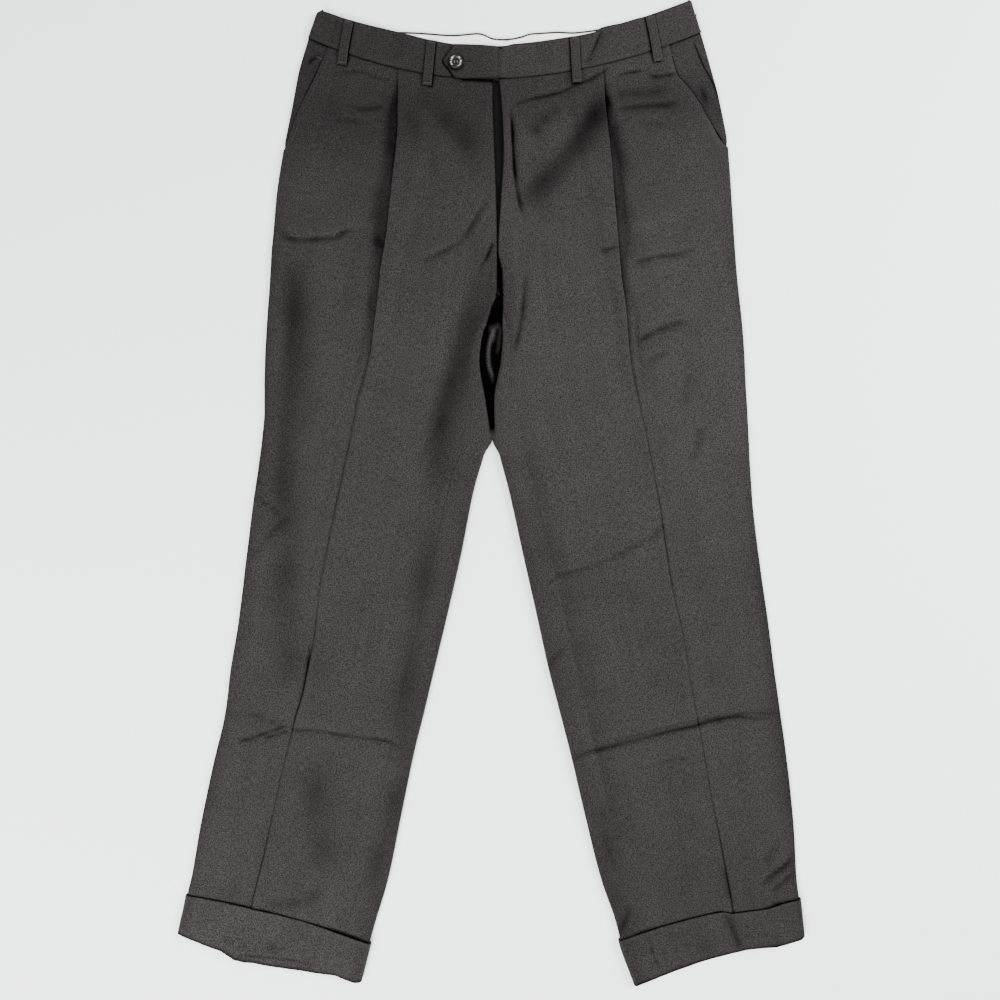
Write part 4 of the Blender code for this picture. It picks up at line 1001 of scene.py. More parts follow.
def front_line(rows, pocket=None):
    """The mid-line of the front, from its inner edge to the pocket edge or the outseam.

    It runs level from the inner edge, rises over a smooth shoulder to the shelf over
    the pleat, turns down on an arc through the pleat's angle, runs on by the pleat's
    depth and turns back on a like arc. Then it runs level to the side and goes under
    on a half circle. At 180 degrees that is a pleat folded under; at 40 it is the
    flank of a pressed crease.
    """
    turn = np.radians(rows.turn)
    crest = rows.crease * rows.width - rows.nose - rows.inner_end
    over = crest + rows.nose * np.sin(steps(7, True) * turn)
    over_z = rows.nose * (np.cos(steps(7, True) * turn) - 1)
    foot = over[:, -1:] + steps(3) * rows.pleat * np.cos(turn)
    foot_z = over_z[:, -1:] - steps(3) * rows.pleat * np.sin(turn)
    heading = (steps(7) - 1) * turn
    under = foot[:, -1:] + rows.nose * (np.sin(turn) + np.sin(heading))
    under_z = foot_z[:, -1:] + rows.nose * (np.cos(turn) - np.cos(heading))
    rise = rows.out_z - under_z[:, -1:]
    crest_z = over_z[:, :1] + rise
    tucked = np.maximum(0, -np.cos(turn))
    shelf = crest - tucked * (rows.pleat + PLEAT_CLEARANCE) - PLEAT_LEVEL
    shoulder = shelf - PLEAT_SHOULDER
    level = rows.inseam + steps(LEVEL_STEPS, True) ** 1.35 * (shoulder - rows.inseam)
    climb = shoulder + steps(CLIMB_STEPS) * PLEAT_SHOULDER
    climb_z = smooth(steps(CLIMB_STEPS))
    climb_z = rows.inner_height(climb) * (1 - climb_z) + crest_z * climb_z
    flat = shelf + steps(FLAT_STEPS + 1)[:, :-1] * (crest - shelf)
    side_end = rows.outer_end - (rows.fold_radius if pocket is None else pocket)
    outside = under[:, -1:] + steps(OUTSIDE_STEPS) ** 1.5 * (side_end - under[:, -1:])
    worn = 0.0 if pocket is None else 0.5 * bell(side_end - outside, 1.8)
    beyond = smooth((outside - crest) / 9)
    strips = [
        strip(rows, level, rows.inner_height(level), wear=0.25 * bell(level - rows.inseam, 2.2)),
        strip(rows, climb, climb_z),
        strip(rows, flat, crest_z),
        strip(rows, over, over_z + rise, wear=0.15),
        strip(rows, foot, foot_z + rise, outer=0.3 * steps(3)),
        strip(rows, under, under_z + rise, outer=0.3 + 0.7 * steps(7)),
        strip(rows, outside, rows.out_z, outer=1, inner=1 - beyond, wear=worn),
    ]
    if pocket is None:
        fold, fold_z, seam, top = side_fold(rows, side_end, rows.fold_radius, 8)
        strips.append(strip(rows, fold, fold_z, top, 1, 0, 1 - top))
        strips.append(strip(rows, seam, rows.floor, 0, 1, 0, 1))
    return joined(*strips)


FLOOR_STEPS = 26
QUARTER_STEPS = 7
INSEAM_STEPS = 10
VALLEY_STEPS = 12


def floor_and_quarter(rows):
    """The back on the surface, then the quarter circle up to its innermost point."""
    start = rows.outer_end - rows.outseam
    turn = rows.inner_end + rows.roll_radius
    floor = start + steps(FLOOR_STEPS, True) * (turn - start)
    return (floor, *arc(turn, rows.floor, rows.roll_radius, 270, -90, QUARTER_STEPS))


def inner_quarter(rows):
    """The quarter circle from the innermost point up to the top, then the top to the inseam."""
    turn = rows.inner_end + rows.roll_radius
    level = turn + steps(INSEAM_STEPS) * (rows.inseam - turn)
    return (*arc(turn, rows.floor, rows.roll_radius, 180, -90, QUARTER_STEPS), level)


def leg_back_line(rows):
    """The back of a leg: along the surface, up round the inner fold, and over to the inseam."""
    floor, quarter, quarter_z = floor_and_quarter(rows)
    upper, upper_z, level = inner_quarter(rows)
    grown = smooth(steps(QUARTER_STEPS))
    return joined(
        strip(rows, floor, rows.floor, 0, 0, 0, 1),
        strip(rows, quarter, quarter_z, 0.2 * grown, 0, 1, 1 - grown),
        strip(rows, upper, upper_z, 0.2 + 0.8 * grown, 0, 1),
        strip(rows, level, rows.inner_height(level), wear=0.25 * bell(rows.inseam - level, 2.2)),
    )


def into_leg(rows):
    """How far the sections between the fork and the leg's top have turned into the leg's own."""
    fork, leg = middle_down(rows.side, "fork"), middle_down(rows.side, "leg_top")
    return smooth((rows.down - fork) / (leg - fork))


def seat_line(rows):
    """The back on the torso: along the surface to the seat seam.

    Just above the leg it turns over into the leg's own line.
    """
    turn = rows.inner_end + rows.roll_radius
    floor, quarter, quarter_z = floor_and_quarter(rows)
    plain = turn + steps(QUARTER_STEPS) * (rows.seat_seam() - turn)
    share = into_leg(rows)
    end = plain + share * (quarter - plain)
    end_z = rows.floor + share * (quarter_z - rows.floor)
    return joined(
        strip(rows, floor, rows.floor, 0, 0, 0, 1),
        strip(rows, end, end_z, 0.2 * share * smooth(steps(QUARTER_STEPS)), 0, 1, 1 - share),
    )


def valley_line(rows):
    """The back between the legs: from the seat seam up the inner fold to the inseam.

    At the crotch it starts level with the front and sinks from there to the valley.
    """
    upper, upper_z, level = inner_quarter(rows)
    seam = rows.seat_seam() - 0.5
    crotch, top = middle_down(rows.side, "crotch"), middle_down(rows.side, "valley_top")
    sunk = smooth((rows.down - crotch) / (top - crotch))
    share = into_leg(rows)
    start = seam + share * (rows.inner_end - seam)
    start_z = 2.6 + share * (rows.floor + rows.roll_radius - 2.6)
    along = steps(VALLEY_STEPS, True)[:, :-1]
    bottom = start + along * (upper[:, :1] - start)
    bottom_z = start_z + along * (upper_z[:, :1] - start_z)
    curve = np.concatenate([bottom, upper, level], axis=1)
    curve_z = np.concatenate([bottom_z, upper_z, rows.inner_height(level)], axis=1)
    flat = seam + steps(curve.shape[1] - 1, True) * (rows.inseam - seam)
    distance = flat + sunk * (curve - flat)
    height = rows.in_z + sunk * (curve_z - rows.in_z)
    grown = 0.2 + 0.8 * smooth(steps(QUARTER_STEPS))
    weight = [np.full((1, VALLEY_STEPS), 0.2), grown, np.ones((1, INSEAM_STEPS))]
    return joined(strip(rows, distance, height, np.concatenate(weight, axis=1), 0, 1))


# ---------------------------------------------------------------- meshes


# The visible top of each finished piece, in millimetres, for what lies on it
TOPS = {}

Grid = namedtuple("Grid", "points uv shade wear")


def made_grid(points, uv, shade=0.0, wear=0.0):
    """A grid with its shade and wear spread over all its points."""
    shape = points.shape[:2]
    return Grid(points, uv, np.broadcast_to(shade, shape), np.broadcast_to(wear, shape))


def lengths(points):
    """Distance run across a grid from its first column, in millimetres."""
    step = np.linalg.norm(np.diff(points, axis=1), axis=-1)
    return np.concatenate([np.zeros_like(step[:, :1]), np.cumsum(step, axis=1)], axis=1)


def lay(rows, line, folds, from_column=0, lowest=None, shadow_lines=(), calm=True):
    """Sets a line on its sections and adds the folds.

    Each fold's height is weighted by how far the cloth there follows it, and the top
    is kept off the cloth beneath by a smooth maximum. Where the waistband and the
    turn-up hold it the cloth is calm and pressed down, with painted shade close against
    them and beside the belt loops. Where it turns away at the sides of the legs, along
    its edges, and in its hollows, painted shade darkens it too.
    """
    x, y, z = np.moveaxis(rows.place(line), -1, 0)
    strength = sizes().fold_strength
    lift, shade = relief(x, y, folds, ALL)
    for part, follows in ((INNER, line.inner), (OUTER, line.outer)):
        height, dark = relief(x, y, folds, part)
        lift = lift + follows * height
        shade = shade + follows * dark
    waves = unevenness(x, y)
    lift = lift + waves
    from_waist = rows.down - middle_down(rows.side, "waist")
    from_side = rows.width - line.distance
    # Painted shade: where the cloth turns away at the sides of the legs, as a dark line along its edges
    # (rim), and in the hollows of its unevenness
    turned = 0.20 * bell(line.distance, 13) + 0.17 * bell(from_side, 9)
    rim = 0.62 - 0.30 * smooth((from_waist - 225) / 20)
    shade = shade + shadows(x, y, shadow_lines) + 0.12 * np.maximum(0.1 - waves, 0)
    shade = shade + turned * smooth((from_waist - 140) / 80)
    shade = shade + rim * bell(line.distance, 0.9) + 0.34 * bell(from_side, 1.3)
    if calm:
        sag, gap = by_table(line.distance / rows.width, CUFF_TOP[rows.side])
        from_cuff = middle_down(rows.side, "cuff_top") - rows.down
        lift = lift * (0.3 + 0.7 * smooth(from_waist / 6)) * smooth(from_cuff / 9)
        # Painted shadow close against the waistband, in the gap under the turn-up's top edge, and beside
        # the belt loops
        shade = shade + 0.7 * bell(from_waist, 0.9) + 1.1 * bell(np.maximum(from_cuff + sag, 0), gap)
        shade = shade + beside_loops(x, y)
    raised = z + strength * line.top * lift
    floor = rows.floor + 2.0 if lowest is None else lowest
    kept = (raised + floor + np.sqrt((raised - floor) ** 2 + 0.3)) / 2
    raised = raised + smooth(line.top * 2 - 1) * (kept - raised)
    under, _ = relief(x, y, BACK_FOLDS)
    raised = raised + strength * line.ground * np.maximum(under, 0) * (rows.floor < 1.2)
    if calm:
        raised = raised - 0.85 * np.maximum(raised - 4.4, 0) * bell(from_waist, 5)
    points = stacked(x, y, raised)
    across = lengths(points)
    across = across - across[:, from_column][:, None]
    return made_grid(points, stacked(across, rows.down), line.top * shade, line.wear)


def cell_faces(start, beside):
    """Four corners of every cell between rows of points and the points beside them."""
    cells = start[..., :-1, :], beside[..., :-1, :], beside[..., 1:, :], start[..., 1:, :]
    return np.stack([cell.ravel() for cell in cells], axis=1)


def grid_faces(height, width, start=0):
    """Faces of a grid of points counted row by row."""
    corner = start + np.arange(height * width).reshape(height, width)
    return cell_faces(corner[:, :-1], corner[:, 1:])


def ring_faces(corner):
    """Faces between rings of points, each ring closed on itself."""
    return cell_faces(corner, np.roll(corner, -1, axis=-1)).tolist()


def new_mesh_object(name, points, faces, material):
    """An object from points in millimetres and faces, smooth shaded."""
    mesh = bpy.data.meshes.new(name)
    faces = faces.tolist() if isinstance(faces, np.ndarray) else faces
    mesh.from_pydata(np.reshape(points, (-1, 3)) * MM, [], faces)
    mesh.shade_smooth()
    mesh.materials.append(material)
    obj = bpy.data.objects.new(name, mesh)
    bpy.context.scene.collection.objects.link(obj)
    return obj


def point_attribute(mesh, name, values):
    values = np.clip(values, 0, 1).astype(np.float32)
    mesh.attributes.new(name, "FLOAT", "POINT").data.foreach_set("value", values)


def slow_painted_shade(x, y):
    """Slow painted shade over the wool, by each side's table, mixed across the middle."""
    right, left = (by_table(WAIST_Y - y, SLOW_PAINTED_SHADE[side])[0] for side in (RIGHT, LEFT))
    return right + smooth((x - CENTRE_X) / 60 + 0.5) * (left - right)


def cloth(name, grids, material, wall, bevel=0.0, toned=True):
    """Cloth from grids that share edges: welded, with UVs in metres, and given its wall.

    Points at one place are made one, and faces that this closes up are left out.
    """
    shapes = [grid.points.shape[:2] for grid in grids]
    starts = np.cumsum([0] + [high * wide for high, wide in shapes])
    faces = np.concatenate([grid_faces(*shape, start) for shape, start in zip(shapes, starts)])
    points = np.concatenate([grid.points.reshape(-1, 3) for grid in grids])
    uv = np.concatenate([grid.uv.reshape(-1, 2) for grid in grids])
    shade = np.concatenate([grid.shade.ravel() for grid in grids])
    wear = np.concatenate([grid.wear.ravel() for grid in grids])
    # The slow painted shade lies under the painted shade of the folds, gaps and edges
    if toned:
        slow = slow_painted_shade(points[:, 0], points[:, 1])
        shade = slow + (1 - slow) * np.clip(shade, 0, 1)
    keys = np.round(points, 3)
    _, first, which = np.unique(keys, axis=0, return_index=True, return_inverse=True)
    welded = which.ravel()[faces]
    whole = (welded != np.roll(welded, 1, axis=1)).all(axis=1)
    obj = new_mesh_object(name, points[first], welded[whole], material)
    layer = obj.data.uv_layers.new(name="cloth")
    layer.data.foreach_set("uv", (uv[faces[whole]] * MM).astype(np.float32).ravel())
    point_attribute(obj.data, "shade", shade[first])
    point_attribute(obj.data, "wear", wear[first])
    solid = obj.modifiers.new("wall", "SOLIDIFY")
    solid.thickness = wall * MM
    solid.offset = 0
    solid.use_even_offset = True
    if bevel:
        rim = obj.modifiers.new("soft edge", "BEVEL")
        rim.width = bevel * MM
        rim.segments = 2
        rim.limit_method = "ANGLE"
        rim.angle_limit = np.radians(65)
    return obj


def dressed(obj, slot=None, *nodes):
    """Fixes a finished piece to the body and hides the nodes it stands for; the finish it is given is not
    used.
    """
    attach(obj, "root")
    if nodes:
        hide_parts(*nodes)
    return obj


def laid_cloth(node, grids, material, wall, slot="wool", flat=None, rests_on=(), **finish):
    """Cloth that stands for a node; its flat size is not used."""
    obj = cloth(f"{node}_cloth", grids, material, in_mm(wall), **finish)
    dressed(obj, slot, node)
    return obj


def top_of(name, *grids, half_wall):
    """Notes the points of a piece's visible top."""
    points = np.concatenate([grid.reshape(-1, 3) for grid in grids])
    TOPS[name] = points + (0, 0, half_wall)


def height_over(x, y, names, radius=None):
    """Height of the cloth over some places: the mean of the nearest four points of its
    top, each weighted by one over its distance, or the highest within a radius."""
    tops = np.concatenate([TOPS[name] for name in names])
    tops = tops[close_to(tops[:, 0], tops[:, 1], np.stack([x, y], 1), 12)]
    gap = np.hypot(x[:, None] - tops[:, 0], y[:, None] - tops[:, 1])
    if radius is not None:
        return np.where(gap < radius, tops[:, 2], 0).max(axis=1)
    nearest = np.argpartition(gap, 4, axis=1)[:, :4]
    weight = 1 / (np.take_along_axis(gap, nearest, axis=1) + 0.05)
    return (weight * tops[nearest, 2]).sum(axis=1) / weight.sum(axis=1)


# ---------------------------------------------------------------- finishes


class Nodes:
    """Short ways to add and join a material's nodes."""

    def __init__(self, name):
        self.material = bpy.data.materials.new(name)
        self.material.use_nodes = True
        self.tree = self.material.node_tree
        self.shader = self.tree.nodes["Principled BSDF"]

    def put(self, socket, value):
        if isinstance(value, bpy.types.NodeSocket):
            self.tree.links.new(value, socket)
        else:
            socket.default_value = value

    def add(self, kind, given=(), out=0, **settings):
        """A node with its settings, and its inputs by number or by name; gives one output."""
        node = self.tree.nodes.new(kind)
        for setting, value in settings.items():
            setattr(node, setting, value)
        for socket, value in given.items() if isinstance(given, dict) else enumerate(given):
            self.put(node.inputs[socket], value)
        return node.outputs[out]

    def math(self, operation, *values):
        return self.add("ShaderNodeMath", values, operation=operation)

    def span(self, value, low, high, to_low=0.0, to_high=1.0):
        return self.add("ShaderNodeMapRange", (value, low, high, to_low, to_high))

    def mix(self, share, first, second, blend="MIX"):
        given = {0: share, 6: first, 7: second}
        return self.add("ShaderNodeMix", given, 2, data_type="RGBA", blend_type=blend)

    def noise(self, place, across, down, detail=2.0, roughness=0.5):
        """Noise whose grain is so wide and so long, in metres."""
        grain = (1 / across, 1 / down, 1 / max(across, down))
        spot = self.add("ShaderNodeVectorMath", (place, grain), operation="MULTIPLY")
        given = {"Vector": spot, "Scale": 1.0, "Detail": detail, "Roughness": roughness}
        return self.add("ShaderNodeTexNoise", given, "Fac")

    def twill(self, place, pitch):
        """Slanted ribs so far apart, in metres."""
        given = {"Vector": place, "Scale": 2 * np.pi / (10 * pitch), "Distortion": 0.6}
        return self.add("ShaderNodeTexWave", given, "Fac", bands_direction="DIAGONAL")

    def attribute(self, name):
        return self.add("ShaderNodeAttribute", out="Fac", attribute_name=name)

    def bump(self, height, distance, strength=1.0, **normal):
        given = {"Strength": strength, "Distance": distance, "Height": height, **normal}
        return self.add("ShaderNodeBump", given)

    def finish(self, **given):
        """Sets the shader's inputs, whose names have spaces for the underscores."""
        for socket, value in given.items():
            self.put(self.shader.inputs[socket.replace("_", " ")], value)
        return self.material


def tint(shade, factor=1.0):
    """A colour made lighter or darker, and opaque."""
    return (*(min(1.0, value * factor) for value in shade), 1.0)


# How light each piece's wool is made from the same yarns: painted light and shade
WOOL_PAINTED_TONE = {"trousers": 1.0, "waistband": 0.97, "belt_loop": 1.06, "facing": 0.86, "turn_up": 1.03}


def wool(kind="trousers"):
    """The worsted of the legs, the waistband, the belt loops or the facings, made once.

    Light and dark yarns run along and across the cloth, with slubs, slow mottling and
    pressed edges rubbed paler. The shade attribute is painted shade, which darkens the
    colour in the folds, the gaps and along the edges, and takes the gloss away there.
    """
    made = bpy.data.materials.get(f"wool_{kind}")
    if made:
        return made
    nodes = Nodes(f"wool_{kind}")
    dark, light, tone = colours().wool_dark, colours().wool_light, WOOL_PAINTED_TONE[kind]
    place = nodes.add("ShaderNodeUVMap", uv_map="cloth")
    along = nodes.noise(place, 0.0009, 0.006)
    across = nodes.noise(place, 0.006, 0.0009)
    speck = nodes.noise(place, 0.0011, 0.0013, 2, 0.6)
    streak = nodes.noise(place, 0.006, 0.14)
    mottle = nodes.noise(place, 0.055, 0.075, 3)
    slub = nodes.noise(place, 0.0016, 0.0042, 1, 0.4)
    yarn = nodes.math("ADD", nodes.math("MULTIPLY", along, 0.22), nodes.math("MULTIPLY", across, 0.12))
    yarn = nodes.math("ADD", yarn, nodes.math("MULTIPLY", speck, 0.66))
    yarn = nodes.span(yarn, 0.42, 0.58)
    base = nodes.mix(yarn, tint(dark, tone), tint(light, tone))
    base = nodes.mix(nodes.span(slub, 0.66, 0.80, 0, 0.35), base, tint(light, 1.5 * tone))
    slow = nodes.span(streak, 0.3, 0.7, -0.07, 0.07)
    slow = nodes.math("ADD", slow, nodes.span(mottle, 0.3, 0.7, 0.93, 1.07))
    grey = nodes.add("ShaderNodeCombineColor", (slow, slow, slow))
    base = nodes.mix(1.0, base, grey, "MULTIPLY")
    wear = nodes.math("MULTIPLY", nodes.attribute("wear"), nodes.span(mottle, 0.35, 0.65, 0.08, 0.26))
    base = nodes.mix(wear, base, tint(light, 1.6 * tone))
    # Painted shade from the shade attribute: it darkens the colour and lessens the gloss
    depth = nodes.math("MULTIPLY", nodes.attribute("shade"), 0.97)
    weave = nodes.bump(nodes.twill(place, 0.0009), 0.00006, 0.5)
    return nodes.finish(
        Base_Color=nodes.mix(depth, base, tint(dark, 0.05)),
        Roughness=nodes.span(yarn, 0, 1, 0.86, 0.70),
        Normal=nodes.bump(yarn, 0.00014, 0.6, Normal=weave),
        Specular_IOR_Level=nodes.span(depth, 0, 0.9, 0.12, 0.0),
        Sheen_Weight=nodes.span(depth, 0, 0.9, 0.10, 0.0),
        Sheen_Roughness=0.45,
        Sheen_Tint=(0.62, 0.58, 0.58, 1.0),
    )


def lining_twill():
    """Smooth off-white twill with fine ribs and a faint slow stain, darkened by painted shade."""
    nodes = Nodes("lining_twill")
    place = nodes.add("ShaderNodeUVMap", uv_map="cloth")
    ribs = nodes.twill(place, 0.0012)
    fine = nodes.noise(place, 0.0012, 0.006)
    slow = nodes.noise(place, 0.03, 0.02, 3)
    pale = colours().lining
    base = nodes.mix(nodes.span(fine, 0.35, 0.65), tint(pale, 0.92), tint(pale, 1.04))
    base = nodes.mix(nodes.span(slow, 0.4, 0.7, 0, 0.25), base, tint(pale, 0.84))
    return nodes.finish(
        Base_Color=nodes.mix(nodes.attribute("shade"), base, tint(pale, 0.25)),
        Roughness=nodes.span(ribs, 0, 1, 0.66, 0.56),
        Normal=nodes.bump(ribs, 0.00008, 0.5),
        Sheen_Weight=0.1,
        Specular_IOR_Level=0.35,
    )


def shield_twill():
    """Twill behind the fly, made near black as painted shade of the fly's deep recess."""
    nodes = Nodes("fly_shield_twill")
    place = nodes.add("ShaderNodeUVMap", uv_map="cloth")
    ribs = nodes.twill(place, 0.0011)
    fine = nodes.noise(place, 0.0012, 0.007)
    dark = colours().shield
    return nodes.finish(
        Base_Color=nodes.mix(nodes.span(fine, 0.35, 0.65), tint(dark, 0.6), tint(dark, 1.5)),
        Roughness=nodes.span(ribs, 0, 1, 0.9, 0.78),
        Normal=nodes.bump(ribs, 0.00008, 0.5),
        Specular_IOR_Level=0.08,
    )


def button_horn(centre, radius):
    """Dark polished horn with pale streaks near the rim and fine scratches.

    The streaks are noise drawn out round the button, let through by the distance
    from its middle and most at the ring's left and right: marbling, and a painted
    highlight where the rim catches the light.
    """
    nodes = Nodes("button_horn")
    place = nodes.add("ShaderNodeTexCoord", out="Object")
    shift = (-centre[0] * MM, -centre[1] * MM, 0)
    spot = nodes.add("ShaderNodeMapping", {"Vector": place, "Location": shift})
    flat = nodes.add("ShaderNodeVectorMath", (spot, (1, 1, 0)), operation="MULTIPLY")
    reach = nodes.add("ShaderNodeVectorMath", (flat,), "Value", operation="LENGTH")
    wide = radius * MM
    ring = nodes.span(reach, 0.56 * wide, 0.64 * wide)
    rim = nodes.span(reach, 0.76 * wide, 0.84 * wide, 1.0, 0.0)
    # Painted highlight: the streaks show most at the left and right of the ring
    highlight_sides = nodes.math("ABSOLUTE", nodes.add("ShaderNodeSeparateXYZ", (spot,)))
    highlight_sides = nodes.span(highlight_sides, 0.12 * wide, 0.62 * wide, 0.10, 1.0)
    ring = nodes.math("MULTIPLY", nodes.math("MULTIPLY", ring, rim), highlight_sides)
    marble = nodes.noise(spot, 0.0046, 0.0019, 4, 0.6)
    cloud = nodes.noise(spot, 0.0028, 0.0034)
    scratch = nodes.noise(spot, 0.0004, 0.004)
    streak = nodes.math("MULTIPLY", nodes.span(marble, 0.44, 0.54), ring)
    horn = colours().horn
    base = nodes.mix(nodes.span(cloud, 0.3, 0.7), tint(horn), tint(horn, 1.6))
    return nodes.finish(
        Base_Color=nodes.mix(nodes.math("MULTIPLY", streak, 0.9), base, tint(colours().horn_streak_and_highlight)),
        Roughness=nodes.span(scratch, 0.3, 0.7, 0.38, 0.5),
        Normal=nodes.bump(scratch, 0.00004, 0.4),
        Specular_IOR_Level=0.14,
    )


def sewing_thread(name, factor=1.0):
    """Twisted thread, made once for each name: fine slanted plies, slightly glossy."""
    made = bpy.data.materials.get(name)
    if made:
        return made
    nodes = Nodes(name)
    place = nodes.add("ShaderNodeTexCoord", out="Object")
    plies = nodes.twill(place, 0.0005)
    fuzz = nodes.noise(place, 0.0009, 0.0009)
    tone = tint(colours().thread, factor)[:3]
    return nodes.finish(
        Base_Color=nodes.mix(nodes.span(fuzz, 0.3, 0.7), tint(tone, 0.6), tint(tone, 1.5)),
        Roughness=nodes.span(plies, 0, 1, 0.62, 0.48),
        Normal=nodes.bump(plies, 0.00006, 0.6),
        Specular_IOR_Level=0.4,
    )


def floor_finish():
    """Plain pale surface with a fine even nap."""
    nodes = Nodes("plain_surface")
    place = nodes.add("ShaderNodeTexCoord", out="Object")
    nap = nodes.noise(place, 0.0015, 0.0015, 3, 0.6)
    slow = nodes.noise(place, 0.35, 0.45)
    pale = colours().surface
    base = nodes.mix(nodes.span(nap, 0.3, 0.7), tint(pale, 0.965), tint(pale, 1.02))
    return nodes.finish(
        Base_Color=nodes.mix(nodes.span(slow, 0.3, 0.7, 0, 0.06), base, tint(pale, 0.9)),
        Roughness=nodes.span(nap, 0, 1, 0.98, 0.90),
        Normal=nodes.bump(nap, 0.0002, 0.35),
        Specular_IOR_Level=0.15,
    )


# ---------------------------------------------------------------- pieces


def pocket_inset(rows):
    """How far inside the outer edge the pocket edge lies on each section."""
    return by_table(rows.out_down, POCKET[rows.side])[0]


def pleat_shadow(rows, line):
    """Painted shade beyond the pleat's edge: a flat-topped bell, and a thin dark line at the edge.

    Its depth and reach are given by a table down the leg.
    """
    depth, width = by_table(rows.down + rows.bow, PLEAT_SHADOW[rows.side])
    gap = np.abs(line.distance - rows.crease * rows.width)
    edge = 0.62 * np.exp(-((gap / width) ** 4)) + 0.42 * np.exp(-gap / 1.1)
    return depth * edge * line.outer * (line.top > 0.9)


def tucked_up(grid):
    """The grid with two more rows, which slip up under the waistband."""
    first = grid.points[:1]
    points = np.concatenate([first + (0, 3.0, -1.0), first + (0, 1.0, -0.6), grid.points])
    uv = np.concatenate([grid.uv[:1] - (0, 3.0), grid.uv[:1] - (0, 1.0), grid.uv])
    shade, wear = (np.concatenate([v[:1], v[:1], v]) for v in (grid.shade, grid.wear))
    return Grid(points, uv, shade, wear)


def build_front(side):
    """A front: the part beside the slanted pocket, then the rest down to the turn-up."""
    half = in_mm("cloth_wall") / 2
    name = f"front_{WORD[side]}"
    folds, lines = FRONT_FOLDS[side], SHADOWS[name]
    rows = Sections(side, places_down(side, "waist", "hip"))
    inset = pocket_inset(rows)
    inset[-1] = rows.fold_radius[-1]
    line = front_line(rows, inset)
    over_facing = smooth((line.distance - rows.outer_end + inset + 20) / 8)
    lowest = rows.floor + 2.0 + over_facing * (4.1 - rows.floor - 2.0)
    beside = lay(rows, line, folds, CREST_COLUMN, lowest, lines)
    beside = beside._replace(shade=beside.shade + pleat_shadow(rows, line))
    rows = Sections(side, places_down(side, "hip", leg_end(side)))
    line = front_line(rows)
    full = lay(rows, line, folds, CREST_COLUMN, None, lines)
    gap = gap_shade(full.points[..., 0], full.points[..., 1])
    full = full._replace(shade=full.shade + pleat_shadow(rows, line) + gap)
    columns = beside.points.shape[1]
    beside.points[-1] = full.points[0, :columns]
    top = np.r_[0 : CREST_COLUMN + 3, CREST_COLUMN + 17 : columns]
    top_of(name, beside.points[:, top], full.points[:, top], half_wall=half)
    TOPS[name + "_pocket_edge"] = beside.points[:, -1] + (0, 0, half)
    grids = [tucked_up(beside), full]
    return laid_cloth(name, grids, wool(), "cloth_wall", rests_on=[f"back_{WORD[side]}"])


def build_back(side):
    """A back: the seat on the surface, the valley between the legs, and the leg."""
    name = f"back_{WORD[side]}"
    folds = FRONT_FOLDS[side]
    rows = Sections(side, places_down(side, "leg_top", leg_end(side)))
    legs = lay(rows, leg_back_line(rows), folds)
    rows = Sections(side, places_down(side, "waist", "leg_top"))
    raised = smooth(1 - (rows.down - rows.down[0]) / 40)
    rows.in_x = rows.in_x * (1 - raised)
    rows.in_down = rows.in_down - 9.0 * raised
    rows.measure()
    seat = lay(rows, seat_line(rows), folds)
    rows = Sections(side, places_down(side, "crotch", "leg_top"))
    valley = lay(rows, valley_line(rows), folds, 0, 1.6)
    x, y = valley.points[..., 0], valley.points[..., 1]
    valley.points[..., 2] += relief(x, y, VALLEY_FOLDS)[0] * smooth((rows.down[-1] - rows.down) / 12)
    # The valley between the legs is painted black, a painted shade, by its columns and by the gap's table;
    # its shadows with negative depth paint light along the tongue in the fork
    column = np.arange(x.shape[1]) - VALLEY_STEPS
    deep = (1 - smooth((column - 0.2) / 2.4)) * smooth((195 - y) / 20) * smooth((y - 64) / 6)
    dark = np.maximum(deep, gap_shade(x, y)) + 0.5 * valley.shade
    dark = np.clip(dark, 0, 1) + shadows(x, y, SHADOWS["valley"])
    valley = valley._replace(shade=np.clip(dark, 0, 1))
    split = FLOOR_STEPS + QUARTER_STEPS
    seat.points[-1] = legs.points[0, : split + 1]
    end = legs.points[0, split:]
    along = steps(VALLEY_STEPS, True)[0, :-1, None]
    valley.points[-1] = np.concatenate([end[0] + along * (end[1] - end[0]), end[1:]])
    leg_top = legs.points[:, split + QUARTER_STEPS :]
    valley_top = valley.points[:, VALLEY_STEPS + QUARTER_STEPS - 1 :]
    top_of(name, leg_top, valley_top, half_wall=in_mm("cloth_wall") / 2)
    return laid_cloth(name, [tucked_up(seat), valley, legs], wool(), "cloth_wall")


def build_facing(side):
    """The strip behind the slanted pocket edge: level under the front, then round the side."""
    name = f"pocket_facing_{WORD[side]}"
    hip = middle_down(side, "hip")
    rows = Sections(side, places_down(side, "waist", hip + 5.0))
    tuck = pocket_inset(rows) + 12
    radius = (3.1 - rows.floor) / 2
    end = rows.outer_end - 1.1 * smooth((rows.down - hip + 9) / 9)
    level = end - tuck + steps(50, True) * (tuck - radius)
    fold, fold_z, seam, top = side_fold(rows, end - radius, radius, 10)
    line = joined(
        strip(rows, level, 2.6 + 0.5 * steps(50, True), 1, 1, 0),
        strip(rows, fold, fold_z, top, 1, 0),
        strip(rows, seam, rows.floor, 0, 1, 0),
    )
    grid = lay(rows, line, FACING_FOLDS, 0, 2.2, SHADOWS[name])
    mouth = line.distance - end + tuck - 12
    depth, width = by_table(rows.out_down, POCKET_SHADOW[side])
    # Painted shadow on the facing beside the pocket edge
    pocket_edge_shadow = depth * bell(np.maximum(mouth, 0), width) * (line.top > 0.3)
    grid = grid._replace(shade=np.clip(grid.shade + pocket_edge_shadow, 0, 1))
    top_of(name, grid.points[:, :55], half_wall=in_mm("cloth_wall") / 2)
    return laid_cloth(name, [tucked_up(grid)], wool("facing"), "cloth_wall")


